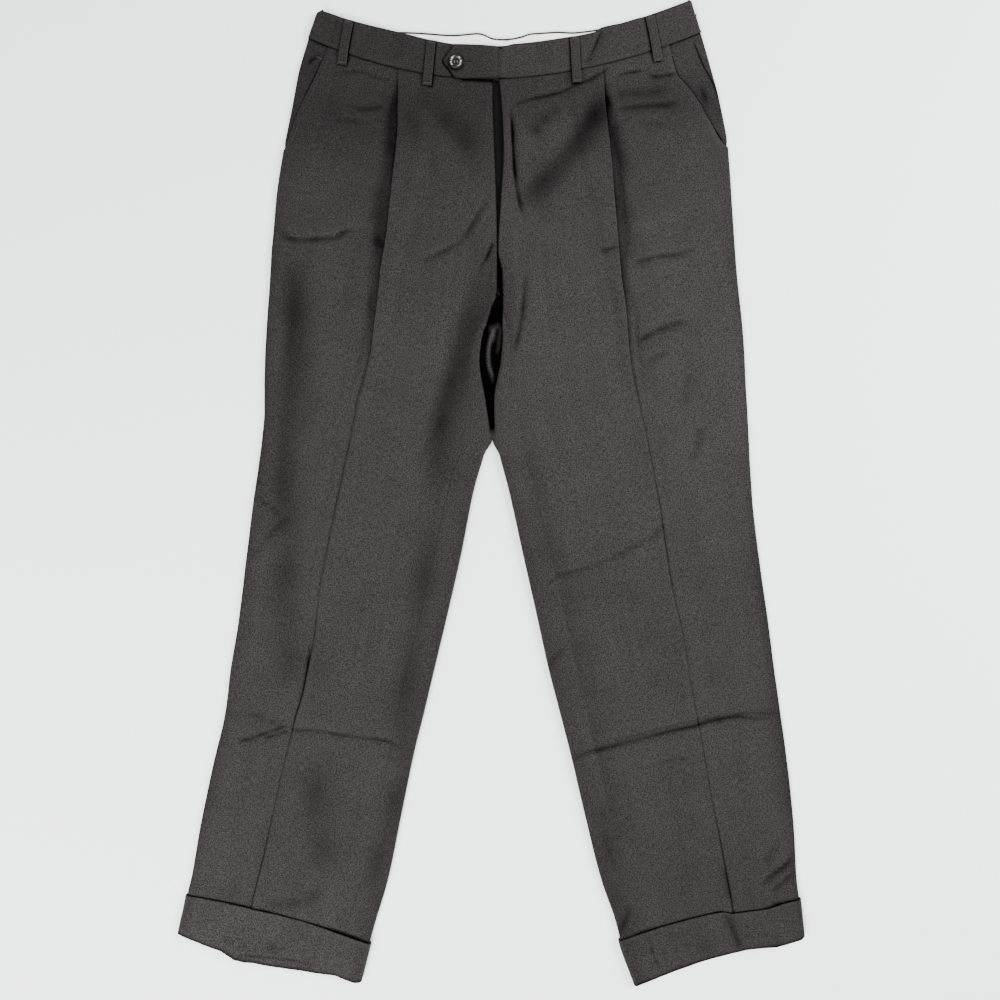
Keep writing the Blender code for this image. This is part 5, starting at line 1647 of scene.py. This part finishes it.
def build_cuff(side):
    """The turn-up, a closed band round the leg's end.

    On every section it is level over the leg, with a soft ridge at the crease, and
    closed by a half circle at each side. Its top edge springs up unevenly, and its
    hem keeps its own line across the leg.
    """
    name = f"cuff_{WORD[side]}"
    floor = in_mm("cuff_wall") / 2
    stand, flare = in_mm("cuff_stand"), in_mm("cuff_flare")
    rows = Sections(side, np.linspace(middle_down(side, "cuff_top"), middle_down(side, "hem"), 32))
    share = steps(31, True).T
    inner, outer = rows.inner_end - stand, rows.outer_end + stand
    roll = (rows.roll + stand - floor) / 2
    fold = (rows.out_z + stand - floor) / 2
    level = inner + roll + steps(130, True) * (outer - fold - inner - roll)
    level_z = rows.inner_height(level) + stand
    level_z = level_z + (rows.out_z - rows.in_z) * smooth((level - 40) / 60)
    gap = level - rows.crease * rows.width
    ridge = 0.7 * bell(gap, np.where(gap > 0, 2.2, 9.0))
    along = level / rows.width
    spring = 0.55 + 0.45 * np.sin(2 * np.pi * (1.7 * along + (0.1 if side == RIGHT else 0.55)))
    spring = spring + 0.8 * bell(along - 0.12, 0.10)
    level_z = level_z + ridge + flare * spring * np.exp(-share * 6)
    away, away_z = (part[:, :-1] for part in arc(outer - fold, floor, fold, 90, -180, 12))
    under = outer - fold + steps(60, True) * (inner + roll - outer + fold)
    near, near_z = arc(inner + roll, floor, roll, 270, -180, 12)
    near_z = near_z + (level_z[:, :1] - near_z[:, -1:]) * smooth(steps(12)) ** 2
    wear = 0.4 * np.exp(-share * 14) + 0.25 * np.exp(-(1 - share) * 12)
    line = joined(
        strip(rows, level, level_z, wear=wear),
        strip(rows, away, away_z, 0.3, wear=wear),
        strip(rows, under, floor, 0, wear=wear),
        strip(rows, near, near_z, 0.3, wear=wear),
    )
    hem_share = np.clip(line.distance / rows.width, 0, 1)
    drop = np.interp(hem_share, *HEM[side]) * share**2
    drop = drop + by_table(hem_share, CUFF_TOP[side])[0] * (1 - share) ** 2
    grid = lay(rows, line, CUFF_FOLDS, lowest=0.2, shadow_lines=SHADOWS["cuffs"], calm=False)
    grid.points[..., 1] -= drop
    grid.points[:, -1] = grid.points[:, 0]
    # A painted dark line along the hem's edge
    hem_painted_shade = 0.8 * bell((1 - share) * TURN_UP_HEIGHT, 2.2)
    grid = grid._replace(shade=np.clip(grid.shade + hem_painted_shade, 0, 1))
    top_of(name, grid.points[:, :131], half_wall=floor)
    TOPS[name + "_grid"] = grid.points
    return laid_cloth(name, [grid], wool("turn_up"), "cuff_wall", bevel=0.25)


def band_edge(side, share, face):
    """The waistband's plan at some shares of its height: a mix of its seam and its top."""
    seam, top = (np.array(BAND[side][f"{face}_{edge}"], float) for edge in ("seam", "top"))
    plan = seam + share * (top - seam)
    width = np.hypot(plan[:, 2] - plan[:, 0], plan[:, 3] - plan[:, 1])
    return [column[:, None] for column in (*plan.T, width)]


def band_points(side, share, distance, height, face):
    """Points at some distances along the waistband, its free edge lifted by its own table."""
    *plan, width = band_edge(side, share, face)
    out, down = on_plan(*plan, distance / width)
    x, y = world(side * out, down)
    edge = FRONT_EDGE if face == "front" else BACK_EDGE
    rise = eased((side * out).ravel(), *edge).reshape(x.shape) * share**2
    return stacked(x, y + rise, height)


def tab_points(share, start):
    """The tab, from its three-cornered end to its root and on to the band's first points.

    A bell rounds the middle corner.
    """
    point, root = (
        stacked(*world(*(np.interp(share, (0, 0.5, 1), column) for column in zip(*corners))))
        for corners in (TAB_POINT, TAB_ROOT)
    )
    point[..., 0] += 2.2 * bell(share - 0.5, 0.09)
    out, on = steps(22, True)[..., None], steps(9)[:, :-1, None]
    plan = np.concatenate([point + out * (root - point), root + on * (start - root)], axis=1)
    return stacked(plan[..., 0], plan[..., 1], TAB_Z)


def build_waistband(side):
    """Half the waistband: front, side fold and back, and on the left the pointed tab.

    The front lies on a plan that is mixed from the seam's and the top edge's, the
    side is a half circle, and the back returns on its own plan. The tab's rows run
    from its three-cornered end to the centre front. Both long edges sink a little.
    """
    name = f"waistband_{WORD[side]}"
    share = (1 - np.cos(np.pi * steps(28, True).T)) / 2
    radius = (BAND_FRONT_Z - BAND_BACK_Z) / 2
    half = in_mm("band_wall") / 2
    rounded = np.clip((share - 1) * BAND_HEIGHT / BAND_CORNER[side] + 1, 0, 0.999)
    inset = half + radius + 0.5 + BAND_CORNER[side] * (1 - np.sqrt(1 - rounded**2))
    front_end = band_edge(side, share, "front")[-1] - inset
    back_end = band_edge(side, share, "back")[-1] - inset
    front = steps(190, True) * front_end
    front_z = np.full(front.shape, BAND_FRONT_Z)
    if side == LEFT:
        front_z = front_z + (TAB_Z - BAND_FRONT_Z) * (1 - smooth(front / 15))
    upper = arc(front_end, BAND_BACK_Z, radius, 90, -90, 6)
    lower = arc(back_end, BAND_BACK_Z, radius, 0, -90, 6, True)
    parts = [
        band_points(side, share, front, front_z, "front"),
        band_points(side, share, *upper, "front"),
        band_points(side, share, *lower, "back"),
        band_points(side, share, back_end + steps(60) * -back_end, BAND_BACK_Z, "back"),
    ]
    tops = front.shape[1]
    if side == LEFT:
        parts.insert(0, tab_points(share, parts[0][:, :1, :2]))
        tops += parts[0].shape[1]
    points = np.concatenate(parts, axis=1)
    x, y = points[..., 0], points[..., 1]
    visible = np.arange(points.shape[1]) < tops
    edge = np.minimum(share, 1 - share) * BAND_HEIGHT
    across = lengths(points)
    if side == LEFT:
        edge = np.minimum(edge, across)
    lift, shade = relief(x, y, BAND_FOLDS)
    lift = lift + 0.45 * unevenness(x, y)
    sink = 0.45 * bell(edge, 1.3) * visible
    points[..., 2] += np.where(visible, np.maximum(lift, -0.75), 0) - sink
    up = share * BAND_HEIGHT
    # Painted dark lines along the seam and the top edge, and painted shadows beside the belt loops, round
    # the tab and round the button
    shade = shade + 0.25 * bell(up, 0.8) + 0.5 * bell(BAND_HEIGHT - up, 0.9) + beside_loops(x, y)
    shade = shade + shadows(x, y, [*SHADOWS["waistband"], button_painted_shadow()])
    wear = 0.30 * bell(edge, 1.6) * visible
    grid = made_grid(points, stacked(up, across), np.where(visible, shade, 0), wear)
    top_of(name, points[:, visible], half_wall=half)
    return laid_cloth(name, [grid], wool("waistband"), "band_wall", bevel=0.35)


def build_lining():
    """The pale lining inside the back of the waistband, just under the back's top edge."""
    plans = [BAND[side]["back_top"] for side in (RIGHT, LEFT)]
    drop = np.concatenate([[2.5, 3.2], np.linspace(4.4, 24, 12)])[:, None]
    x = np.linspace(-0.64 * plans[0][2], 0.64 * plans[1][2], 150)
    right, left = (on_plan(*plan, np.abs(x) / plan[2])[1] for plan in plans)
    top = WAIST_Y - np.where(x < 0, right, left) + eased(x, *BACK_EDGE)[:, 0]
    y = top[None, :] - drop
    x = np.broadcast_to(x + CENTRE_X, y.shape)
    sag = 0.25 * np.sin(x / 9.0 + 0.6 * np.sin(y / 5)) * smooth((drop - 2) / 8)
    z = LINING_Z - 0.3 * bell(drop - 2.5, 1.2) + sag * 0.6
    # Painted shadow along the top edge under the back's edge, and painted shade of a small notch near the
    # centre back
    pit = 0.5 * bell(x - CENTRE_X - 10, 2.2) * bell(drop - 3, 3)
    shade = 0.45 * bell(drop - 2.5, 0.6) + pit
    grid = made_grid(stacked(x, y, z), stacked(x, drop), shade)
    bands = ["waistband_right", "waistband_left"]
    return laid_cloth(
        "waistband_lining", [grid], lining_twill(), "lining_wall", "lining", rests_on=bands, toned=False
    )


def build_shield():
    """The strip behind the fly: square at the waist, round at its foot.

    Its half width is constant down to the foot and then the chord of a circle.
    """
    long, radius = 176.0, 14.5
    down = np.linspace(1.2, long - 0.4, 60)[:, None]
    into = np.clip(down - (long - radius), 0, None)
    wide = np.sqrt(np.maximum(radius**2 - into**2, 0.3))
    share = np.linspace(-1, 1, 15)[None, :]
    x, y = world(1.0 + share * wide, down)
    z = FLY_SHIELD_Z + 0.25 * np.sin(y / 11) * (1 - share**2)
    grid = made_grid(stacked(x, y, z), stacked(x, -y))
    return laid_cloth("fly_shield", [grid], shield_twill(), "cloth_wall", "fly_shield", toned=False)


def build_loop(loop, front):
    """A belt loop: a flat strip with rounded edges, on a line from its top to its foot.

    In front it stands off the cloth by half a sine, bends over the waistband's top
    edge and is folded in at its foot. Behind it is pressed flat.
    """
    half = in_mm("loop_wall") / 2
    long = run_of(loop)[0]
    share = steps(35, True).T
    across = np.linspace(-1, 1, 11)[None, :]
    wide = LOOP_WIDTH / 2 * (1 - 0.04 * np.sin(np.pi * share))
    x, y = on_loop(loop, share * long, across * wide)
    height = half
    if front:
        names = ["waistband_right", "waistband_left", "front_right", "front_left"]
        under = height_over(*on_loop(loop, share[:, 0] * long, 0), names, 5.5)
        kernel = np.hanning(9) / np.hanning(9).sum()
        under = np.convolve(np.pad(under, 4, mode="edge"), kernel, mode="valid")[:, None]
        spring = LOOP_LIFT * np.sin(np.pi * share) ** 0.7
        ends = 0.5 * bell(share, 0.03) + 0.5 * bell(1 - share, 0.03)
        height = under + 0.45 + half + spring - 0.5 * ends
        height = height + 0.2 * (1 - across**2) - 0.18 * across**6
    points = stacked(x, y, height)
    wear = 0.7 * across**6 + 0.3 * bell(1 - share, 0.04)
    # Painted shade along the two lines of stitching
    stitch_painted_shade = 0.25 * bell(np.abs(across) - 0.62, 0.10)
    grid = made_grid(points, stacked(across * 5, share * 50), stitch_painted_shade, wear)
    if front:
        top_of(loop.name, points, half_wall=half)
    flat = (LOOP_WIDTH * MM + 0.0001, float(long * MM), None)
    return laid_cloth(loop.name, [grid], wool("belt_loop"), "loop_wall", flat=flat, bevel=0.3)


# ---------------------------------------------------------------- button and sewing


def button_painted_shadow():
    """The painted shadow on the tab round the foot of the button, a circle."""
    middle_x, middle_y = world(BUTTON_X, BUTTON_DOWN)
    reach = in_mm("button_radius") + 0.2
    turn = np.linspace(0, 2 * np.pi, 25)
    line = np.stack([middle_x + reach * np.cos(turn), middle_y + reach * np.sin(turn)], -1)
    return Shadow(1.1, 0.9, 0.01, line)


def build_button():
    """The button: its profile, eased and turned round its middle, with four holes cut through.

    Every point is the profile's distance times the cosine and sine of its turn.
    """
    profile = bent(BUTTON_PROFILE, 4)[1:-1] * in_mm("button_radius") / PROFILE_RADIUS
    middle = world(BUTTON_X, BUTTON_DOWN)
    turn = circle(96)
    reach = profile[:, :1] * (1 + 0.004 * np.sin(2 * turn + 0.6))
    x, y = middle[0] + reach * np.cos(turn), middle[1] + reach * np.sin(turn)
    rings = stacked(x, y, BUTTON_BASE_Z + profile[:, 1:])
    ends = [(*middle, BUTTON_BASE_Z), (*middle, BUTTON_BASE_Z + profile[-1, 1])]
    corner = np.arange(x.size).reshape(x.shape)
    after = np.roll(corner, -1, axis=1)
    back, front = np.full(turn.shape, x.size), np.full(turn.shape, x.size + 1)
    faces = ring_faces(corner)
    faces += np.stack([after[0], corner[0], back], 1).tolist()
    faces += np.stack([corner[-1], after[-1], front], 1).tolist()
    material = button_horn(middle, in_mm("button_radius"))
    obj = new_mesh_object("tab_button", [*rings.reshape(-1, 3), *ends], faces, material)
    pegs = hole_pegs(*middle, material)
    cut = obj.modifiers.new("holes", "BOOLEAN")
    cut.operation = "DIFFERENCE"
    cut.solver = "EXACT"
    cut.object = pegs
    graph = bpy.context.evaluated_depsgraph_get()
    mesh = bpy.data.meshes.new_from_object(obj.evaluated_get(graph))
    obj.modifiers.clear()
    obj.data = mesh
    mesh.shade_smooth()
    mesh.set_sharp_from_angle(angle=np.radians(50))
    bpy.data.objects.remove(pegs)
    return dressed(obj, "horn", "button")


def closed_tubes(corner):
    """Faces of tubes from rings of points, closed at both ends."""
    return ring_faces(corner) + corner[:, 0, ::-1].tolist() + corner[:, -1].tolist()


def hole_pegs(middle_x, middle_y, material):
    """Four upright round pegs, flared at the top so that the holes have soft rims."""
    turn = circle(24)
    reach = np.array([HOLE_RADIUS, HOLE_RADIUS, HOLE_RADIUS + 0.25])[:, None]
    height = np.array([-1, 1.5, 1.95])[:, None]
    hole_x = HOLE_SPREAD * np.array([-1, -1, 1, 1])[:, None, None]
    hole_y = HOLE_SPREAD * np.array([-1, 1, -1, 1])[:, None, None]
    x = middle_x + hole_x + reach * np.cos(turn)
    y = middle_y + hole_y + reach * np.sin(turn)
    corner = np.arange(x.size).reshape(x.shape)
    points = stacked(x, y, BUTTON_BASE_Z + height)
    return new_mesh_object("hole_pegs", points, closed_tubes(corner), material)


def tubes(name, paths, radii, material, sides=8):
    """Round threads along paths, closed at both ends by tapering to almost nothing.

    At each place on a path two directions square to its run are found from the run
    and the upright. The thread's ring is the radius times the cosine of each turn
    along the one and the sine along the other.
    """
    paths = np.asarray(paths, float)
    radii = np.broadcast_to(radii, paths.shape[:2])[..., None, None]
    run = np.gradient(paths, axis=1)
    run /= np.linalg.norm(run, axis=-1, keepdims=True) + 1e-9
    beside = np.cross(run, (0.05, 0.02, 1.0))
    beside /= np.linalg.norm(beside, axis=-1, keepdims=True) + 1e-9
    above = np.cross(beside, run)
    turn = circle(sides)[:, None]
    ring = beside[:, :, None, :] * np.cos(turn) + above[:, :, None, :] * np.sin(turn)
    points = paths[:, :, None, :] + radii * ring
    corner = np.arange(points[..., 0].size).reshape(points.shape[:-1])
    return new_mesh_object(name, points, closed_tubes(corner), material)


def stitch_paths(path, unevenly=0.12):
    """The arches of a row of stitches that lie on a path, and how thick they are.

    Each stitch rises out of the cloth, lies on it and dips in again: the fourth
    root of a half sine over its length. Its start and side step waver.
    """
    pitch = in_mm("stitch_length") + in_mm("stitch_gap")
    whole = run_along(path)[-1]
    number = np.arange(max(1, int(whole / pitch)))
    waver = unevenly * np.sin(number * 2.399 + 0.7 * np.sin(number * 1.3))
    share = steps(6, True)
    spots = (number + 0.5 + waver * 0.4)[:, None] * pitch + (share - 0.5) * in_mm("stitch_length")
    places = along_path(path, np.clip(spots, 0, whole))
    places[..., 2] += 0.30 * (np.sin(np.pi * share) ** 0.25 - 1) + 0.12
    places[..., 0] += waver[:, None] * 0.5
    thick = 0.35 + 0.65 * np.sin(np.pi * share) ** 0.5
    return places, np.broadcast_to(thick, spots.shape)


def over_cloth(plan, names, radius=None, spacing=0.8):
    """A path laid over the cloth from a plan in X and Y."""
    whole = run_along(plan)[-1]
    x, y = along_path(plan, np.linspace(0, whole, max(3, int(whole / spacing)))).T
    return np.stack([x, y, height_over(x, y, names, radius)], axis=-1)


def sew(name, paths, on, factor=1.0, thick=1.0):
    """Rows of stitches, as one piece of thread."""
    places, radii = zip(*(stitch_paths(path) for path in paths))
    radii = np.concatenate(radii) * in_mm("thread_radius") * thick
    return dressed(tubes(name, np.concatenate(places), radii, sewing_thread(on, factor)))


def whipped(path, half, pitch=0.42):
    """Crosswise loops of thread set close along a path: a bartack or a buttonhole's edge.

    Each loop is a half ellipse from one side of the path over to the other.
    """
    whole = run_along(path)[-1]
    count = max(3, int(whole / pitch))
    spots = (np.arange(count) + 0.5) * whole / count
    ahead, behind = (along_path(path, np.clip(spots + way, 0, whole)) for way in (0.1, -0.1))
    run = ahead - behind
    run /= np.linalg.norm(run, axis=1, keepdims=True)
    beside = run[:, [1, 0, 2]] * (-1, 1, 0)
    angle = np.linspace(0, np.pi, 9)[None, :, None]
    number = np.arange(count)[:, None, None]
    wide = half * (1 + 0.08 * np.sin(number * 1.7))
    slant = 0.10 * np.sin(number * 2.3)
    loops = along_path(path, spots)[:, None] + beside[:, None] * np.cos(angle) * wide
    loops = loops + run[:, None] * (slant * np.cos(angle))
    loops[..., 2] += 0.34 * np.sin(angle[..., 0]) - 0.05
    return loops


def tack(name, paths, half=0.8, factor=1.1):
    """Bartacks: whipped thread over short paths."""
    loops = np.concatenate([whipped(path, half) for path in paths])
    return dressed(tubes(name, loops, 0.20, sewing_thread("tack_thread", factor), 6))


def build_button_thread():
    """Two bars of three strands each through the button's holes."""
    middle_x, middle_y = world(BUTTON_X, BUTTON_DOWN)
    share = np.linspace(0, 1, 15)
    bar = np.array([-HOLE_SPREAD, HOLE_SPREAD])[:, None, None]
    offset = np.array([-0.26, 0.0, 0.26])[:, None]
    x = middle_x + bar + offset + 0.05 * np.sin(share * 9 + offset * 8)
    y = middle_y + (share * 2 - 1) * HOLE_SPREAD
    arch = 1 - np.abs(share * 2 - 1) ** 6
    z = BUTTON_BASE_Z + 0.3 + 1.72 * arch + 0.1 * (1 - np.abs(offset) * 3)
    strands = stacked(x, y, z).reshape(-1, len(share), 3)
    return dressed(tubes("button_thread", strands, 0.17, sewing_thread("button_sewing_thread", 7.0)))


def build_buttonhole():
    """The buttonhole: whipped edges round a slit whose dark is a sheet of painted shade, with a rounded
    eye by the button.
    """
    left, y = world(-37.2, -17.2)
    right, half = CENTRE_X - 25.4, 0.85
    turn = np.linspace(np.pi / 2, 3 * np.pi / 2, 7)
    eye = np.stack([left + 1.0 * np.cos(turn), y + 1.0 * np.sin(turn)], -1)
    there = [(right, y + half), (left + 1.6, y + half)]
    back = [(left + 1.6, y - half), (right, y - half), (right, y + half)]
    path = over_cloth(np.concatenate([there, eye, back]), ["waistband_left"], spacing=0.4)
    loops = whipped(path + (0, 0, 0.02), 0.55, 0.38)
    dressed(tubes("buttonhole_edge", loops, 0.16, sewing_thread("buttonhole_thread", 0.45), 6))
    x = np.linspace(left + 0.6, right - 0.5, 30)
    wide = 0.42 + 0.50 * bell(np.linspace(-3.2, 1.0, 30), 1)
    across = np.linspace(-1, 1, 5)[:, None]
    z = height_over(x, np.full(x.shape, y), ["waistband_left"]) + 0.14
    points = stacked(x, y + across * wide, z + 0.04 * (1 - across**2))
    # The slit's dark inside is painted: a thin sheet of full painted shade
    grid = made_grid(points, stacked(x, across * wide), 1.0)
    slit = cloth("buttonhole_slit_shade", [grid], wool("facing"), 0.10, toned=False)
    return dressed(slit, "wool")


def build_stitching():
    """Top-stitching, tacks and bartacks of the fronts, pockets, loops, lining and turn-ups."""
    for side, word in WORD.items():
        inward = TOPS[f"front_{word}_pocket_edge"][4:-3, :2] + (-side * 5.0, 0)
        sew(f"pocket_stitching_{word}", [over_cloth(inward, [f"front_{word}"])], "pocket_thread", 1.15)
    mouths = [
        over_cloth(POCKET_TACKS[side], [f"front_{word}", f"pocket_facing_{word}"], 1.6, 0.4)
        for side, word in WORD.items()
    ]
    tack("pocket_bartacks", mouths, 0.75)
    ends, rows = [], []
    for loop in FRONT_LOOPS:
        for along in (-2.2, 2.6):
            plan = [on_loop(loop, along, beside) for beside in (-3.6, 3.6)]
            ends.append(over_cloth(plan, [loop.name], None, 0.4))
        for beside in (-3.0, 3.0):
            plan = [on_loop(loop, along, beside) for along in (3, -3)]
            rows.append(over_cloth(plan, [loop.name]))
    tack("belt_loop_bartacks", ends, 0.55, 1.0)
    sew("belt_loop_stitching", rows, "loop_thread", 1.0, 0.8)
    tack("fly_bartack", [over_cloth(FLY_TACK, ["front_left", "front_right"], 1.5, 0.4)], 0.9)
    plans = [bent(np.array(spots, float) + (CENTRE_X, 0)) for spots in LINING_ROWS]
    rows = [np.column_stack([plan, np.full(len(plan), LINING_Z + 0.5)]) for plan in plans]
    sew("lining_stitching", rows, "lining_thread", 30.0, 0.8)
    rows = [TOPS[f"cuff_{word}_grid"][1, 90:130] + (0, 0, 0.55) for word in WORD.values()]
    sew("turn_up_tacks", rows, "turn_up_thread", 1.0, 0.8)


# ---------------------------------------------------------------- stage


def soft_light(name, place, size, power, shade):
    """A large square lamp turned to face the middle."""
    light = bpy.data.lights.new(name, "AREA")
    light.shape = "SQUARE"
    light.size = size
    light.energy = power
    light.color = shade
    obj = bpy.data.objects.new(name, light)
    obj.location = place
    obj.rotation_euler = obj.location.to_track_quat("Z", "Y").to_euler()
    bpy.context.scene.collection.objects.link(obj)
    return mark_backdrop(obj)


def build_stage():
    """The plain surface, three soft lamps, an even sky and the camera straight above."""
    scene = bpy.context.scene
    places = np.linspace(-3000, 3000, 13)
    points = stacked(*np.meshgrid(places, places), -0.25)
    new_mesh_object("plain_floor", points, grid_faces(13, 13), floor_finish())
    for name, lamp in LAMPS.items():
        soft_light(name, *lamp)
    scene.world = bpy.data.worlds.new("even_sky")
    scene.world.use_nodes = True
    sky = scene.world.node_tree.nodes["Background"]
    sky.inputs["Color"].default_value = SKY_COLOUR
    sky.inputs["Strength"].default_value = SKY_STRENGTH
    camera = bpy.data.cameras.new("overhead_camera")
    camera.sensor_width = 36.0
    camera.lens = 36.0 * sizes().camera_height / sizes().view_width
    camera.dof.use_dof = False
    camera.clip_end = 20
    view = bpy.data.objects.new("overhead_camera", camera)
    view.location = (CAMERA_X, CAMERA_Y, sizes().camera_height)
    scene.collection.objects.link(view)
    scene.camera = view


# ---------------------------------------------------------------- add-on


class TROUSERS_OT_stage(bpy.types.Operator):
    """Adds the surface, the lights and the camera"""

    bl_idname = "trousers.add_stage"
    bl_label = "Stage"

    def execute(self, context):
        build_stage()
        return {"FINISHED"}


class TROUSERS_OT_backs(bpy.types.Operator):
    """Adds the two backs"""

    bl_idname = "trousers.add_backs"
    bl_label = "Backs"

    def execute(self, context):
        build_back(RIGHT)
        build_back(LEFT)
        return {"FINISHED"}


class TROUSERS_OT_facings(bpy.types.Operator):
    """Adds the strips behind the pocket edges"""

    bl_idname = "trousers.add_facings"
    bl_label = "Pocket Facings"

    def execute(self, context):
        build_facing(RIGHT)
        build_facing(LEFT)
        return {"FINISHED"}


class TROUSERS_OT_shield(bpy.types.Operator):
    """Adds the strip behind the fly"""

    bl_idname = "trousers.add_fly_shield"
    bl_label = "Fly Shield"

    def execute(self, context):
        build_shield()
        return {"FINISHED"}


class TROUSERS_OT_fronts(bpy.types.Operator):
    """Adds the two pleated fronts"""

    bl_idname = "trousers.add_fronts"
    bl_label = "Fronts"

    def execute(self, context):
        build_front(RIGHT)
        build_front(LEFT)
        return {"FINISHED"}


class TROUSERS_OT_cuffs(bpy.types.Operator):
    """Adds the two turn-ups"""

    bl_idname = "trousers.add_turn_ups"
    bl_label = "Turn-ups"

    def execute(self, context):
        build_cuff(RIGHT)
        build_cuff(LEFT)
        return {"FINISHED"}


class TROUSERS_OT_waistband(bpy.types.Operator):
    """Adds the two halves of the waistband with the tab, and the lining"""

    bl_idname = "trousers.add_waistband"
    bl_label = "Waistband"

    def execute(self, context):
        build_waistband(RIGHT)
        build_waistband(LEFT)
        build_lining()
        return {"FINISHED"}


class TROUSERS_OT_loops(bpy.types.Operator):
    """Adds the belt loops"""

    bl_idname = "trousers.add_belt_loops"
    bl_label = "Belt Loops"

    def execute(self, context):
        for loop in FRONT_LOOPS:
            build_loop(loop, True)
        for loop in BACK_LOOPS:
            build_loop(loop, False)
        return {"FINISHED"}


class TROUSERS_OT_button(bpy.types.Operator):
    """Adds the button, its thread and the buttonhole"""

    bl_idname = "trousers.add_button"
    bl_label = "Button and Buttonhole"

    def execute(self, context):
        build_button()
        build_button_thread()
        build_buttonhole()
        return {"FINISHED"}


class TROUSERS_OT_stitching(bpy.types.Operator):
    """Adds the stitches and bartacks"""

    bl_idname = "trousers.add_stitching"
    bl_label = "Stitching"

    def execute(self, context):
        build_stitching()
        return {"FINISHED"}


STEPS = (
    TROUSERS_OT_stage,
    TROUSERS_OT_backs,
    TROUSERS_OT_facings,
    TROUSERS_OT_shield,
    TROUSERS_OT_fronts,
    TROUSERS_OT_cuffs,
    TROUSERS_OT_waistband,
    TROUSERS_OT_loops,
    TROUSERS_OT_button,
    TROUSERS_OT_stitching,
)


class VIEW3D_PT_trousers(bpy.types.Panel):
    """Sizes, colours and steps of the trousers"""

    bl_label = "Pleated Dress Trousers"
    bl_space_type = "VIEW_3D"
    bl_region_type = "UI"
    bl_category = "Trousers"

    def draw(self, context):
        layout = self.layout
        for group in (sizes(), colours()):
            box = layout.box()
            for name in type(group).__annotations__:
                box.prop(group, name)
        for step in STEPS:
            layout.operator(step.bl_idname)


CLASSES = (TrousersSizes, TrousersColours, *STEPS, VIEW3D_PT_trousers)


def register():
    for cls in CLASSES:
        bpy.utils.register_class(cls)
    bpy.types.Scene.trousers_sizes = bpy.props.PointerProperty(type=TrousersSizes)
    bpy.types.Scene.trousers_colours = bpy.props.PointerProperty(type=TrousersColours)


def unregister():
    del bpy.types.Scene.trousers_colours
    del bpy.types.Scene.trousers_sizes
    for cls in reversed(CLASSES):
        bpy.utils.unregister_class(cls)


def main():
    register()
    bpy.ops.trousers.add_stage()
    bpy.ops.trousers.add_backs()
    bpy.ops.trousers.add_facings()
    bpy.ops.trousers.add_fly_shield()
    bpy.ops.trousers.add_fronts()
    bpy.ops.trousers.add_turn_ups()
    bpy.ops.trousers.add_waistband()
    bpy.ops.trousers.add_belt_loops()
    bpy.ops.trousers.add_button()
    bpy.ops.trousers.add_stitching()


if __name__ == "__main__":
    main()
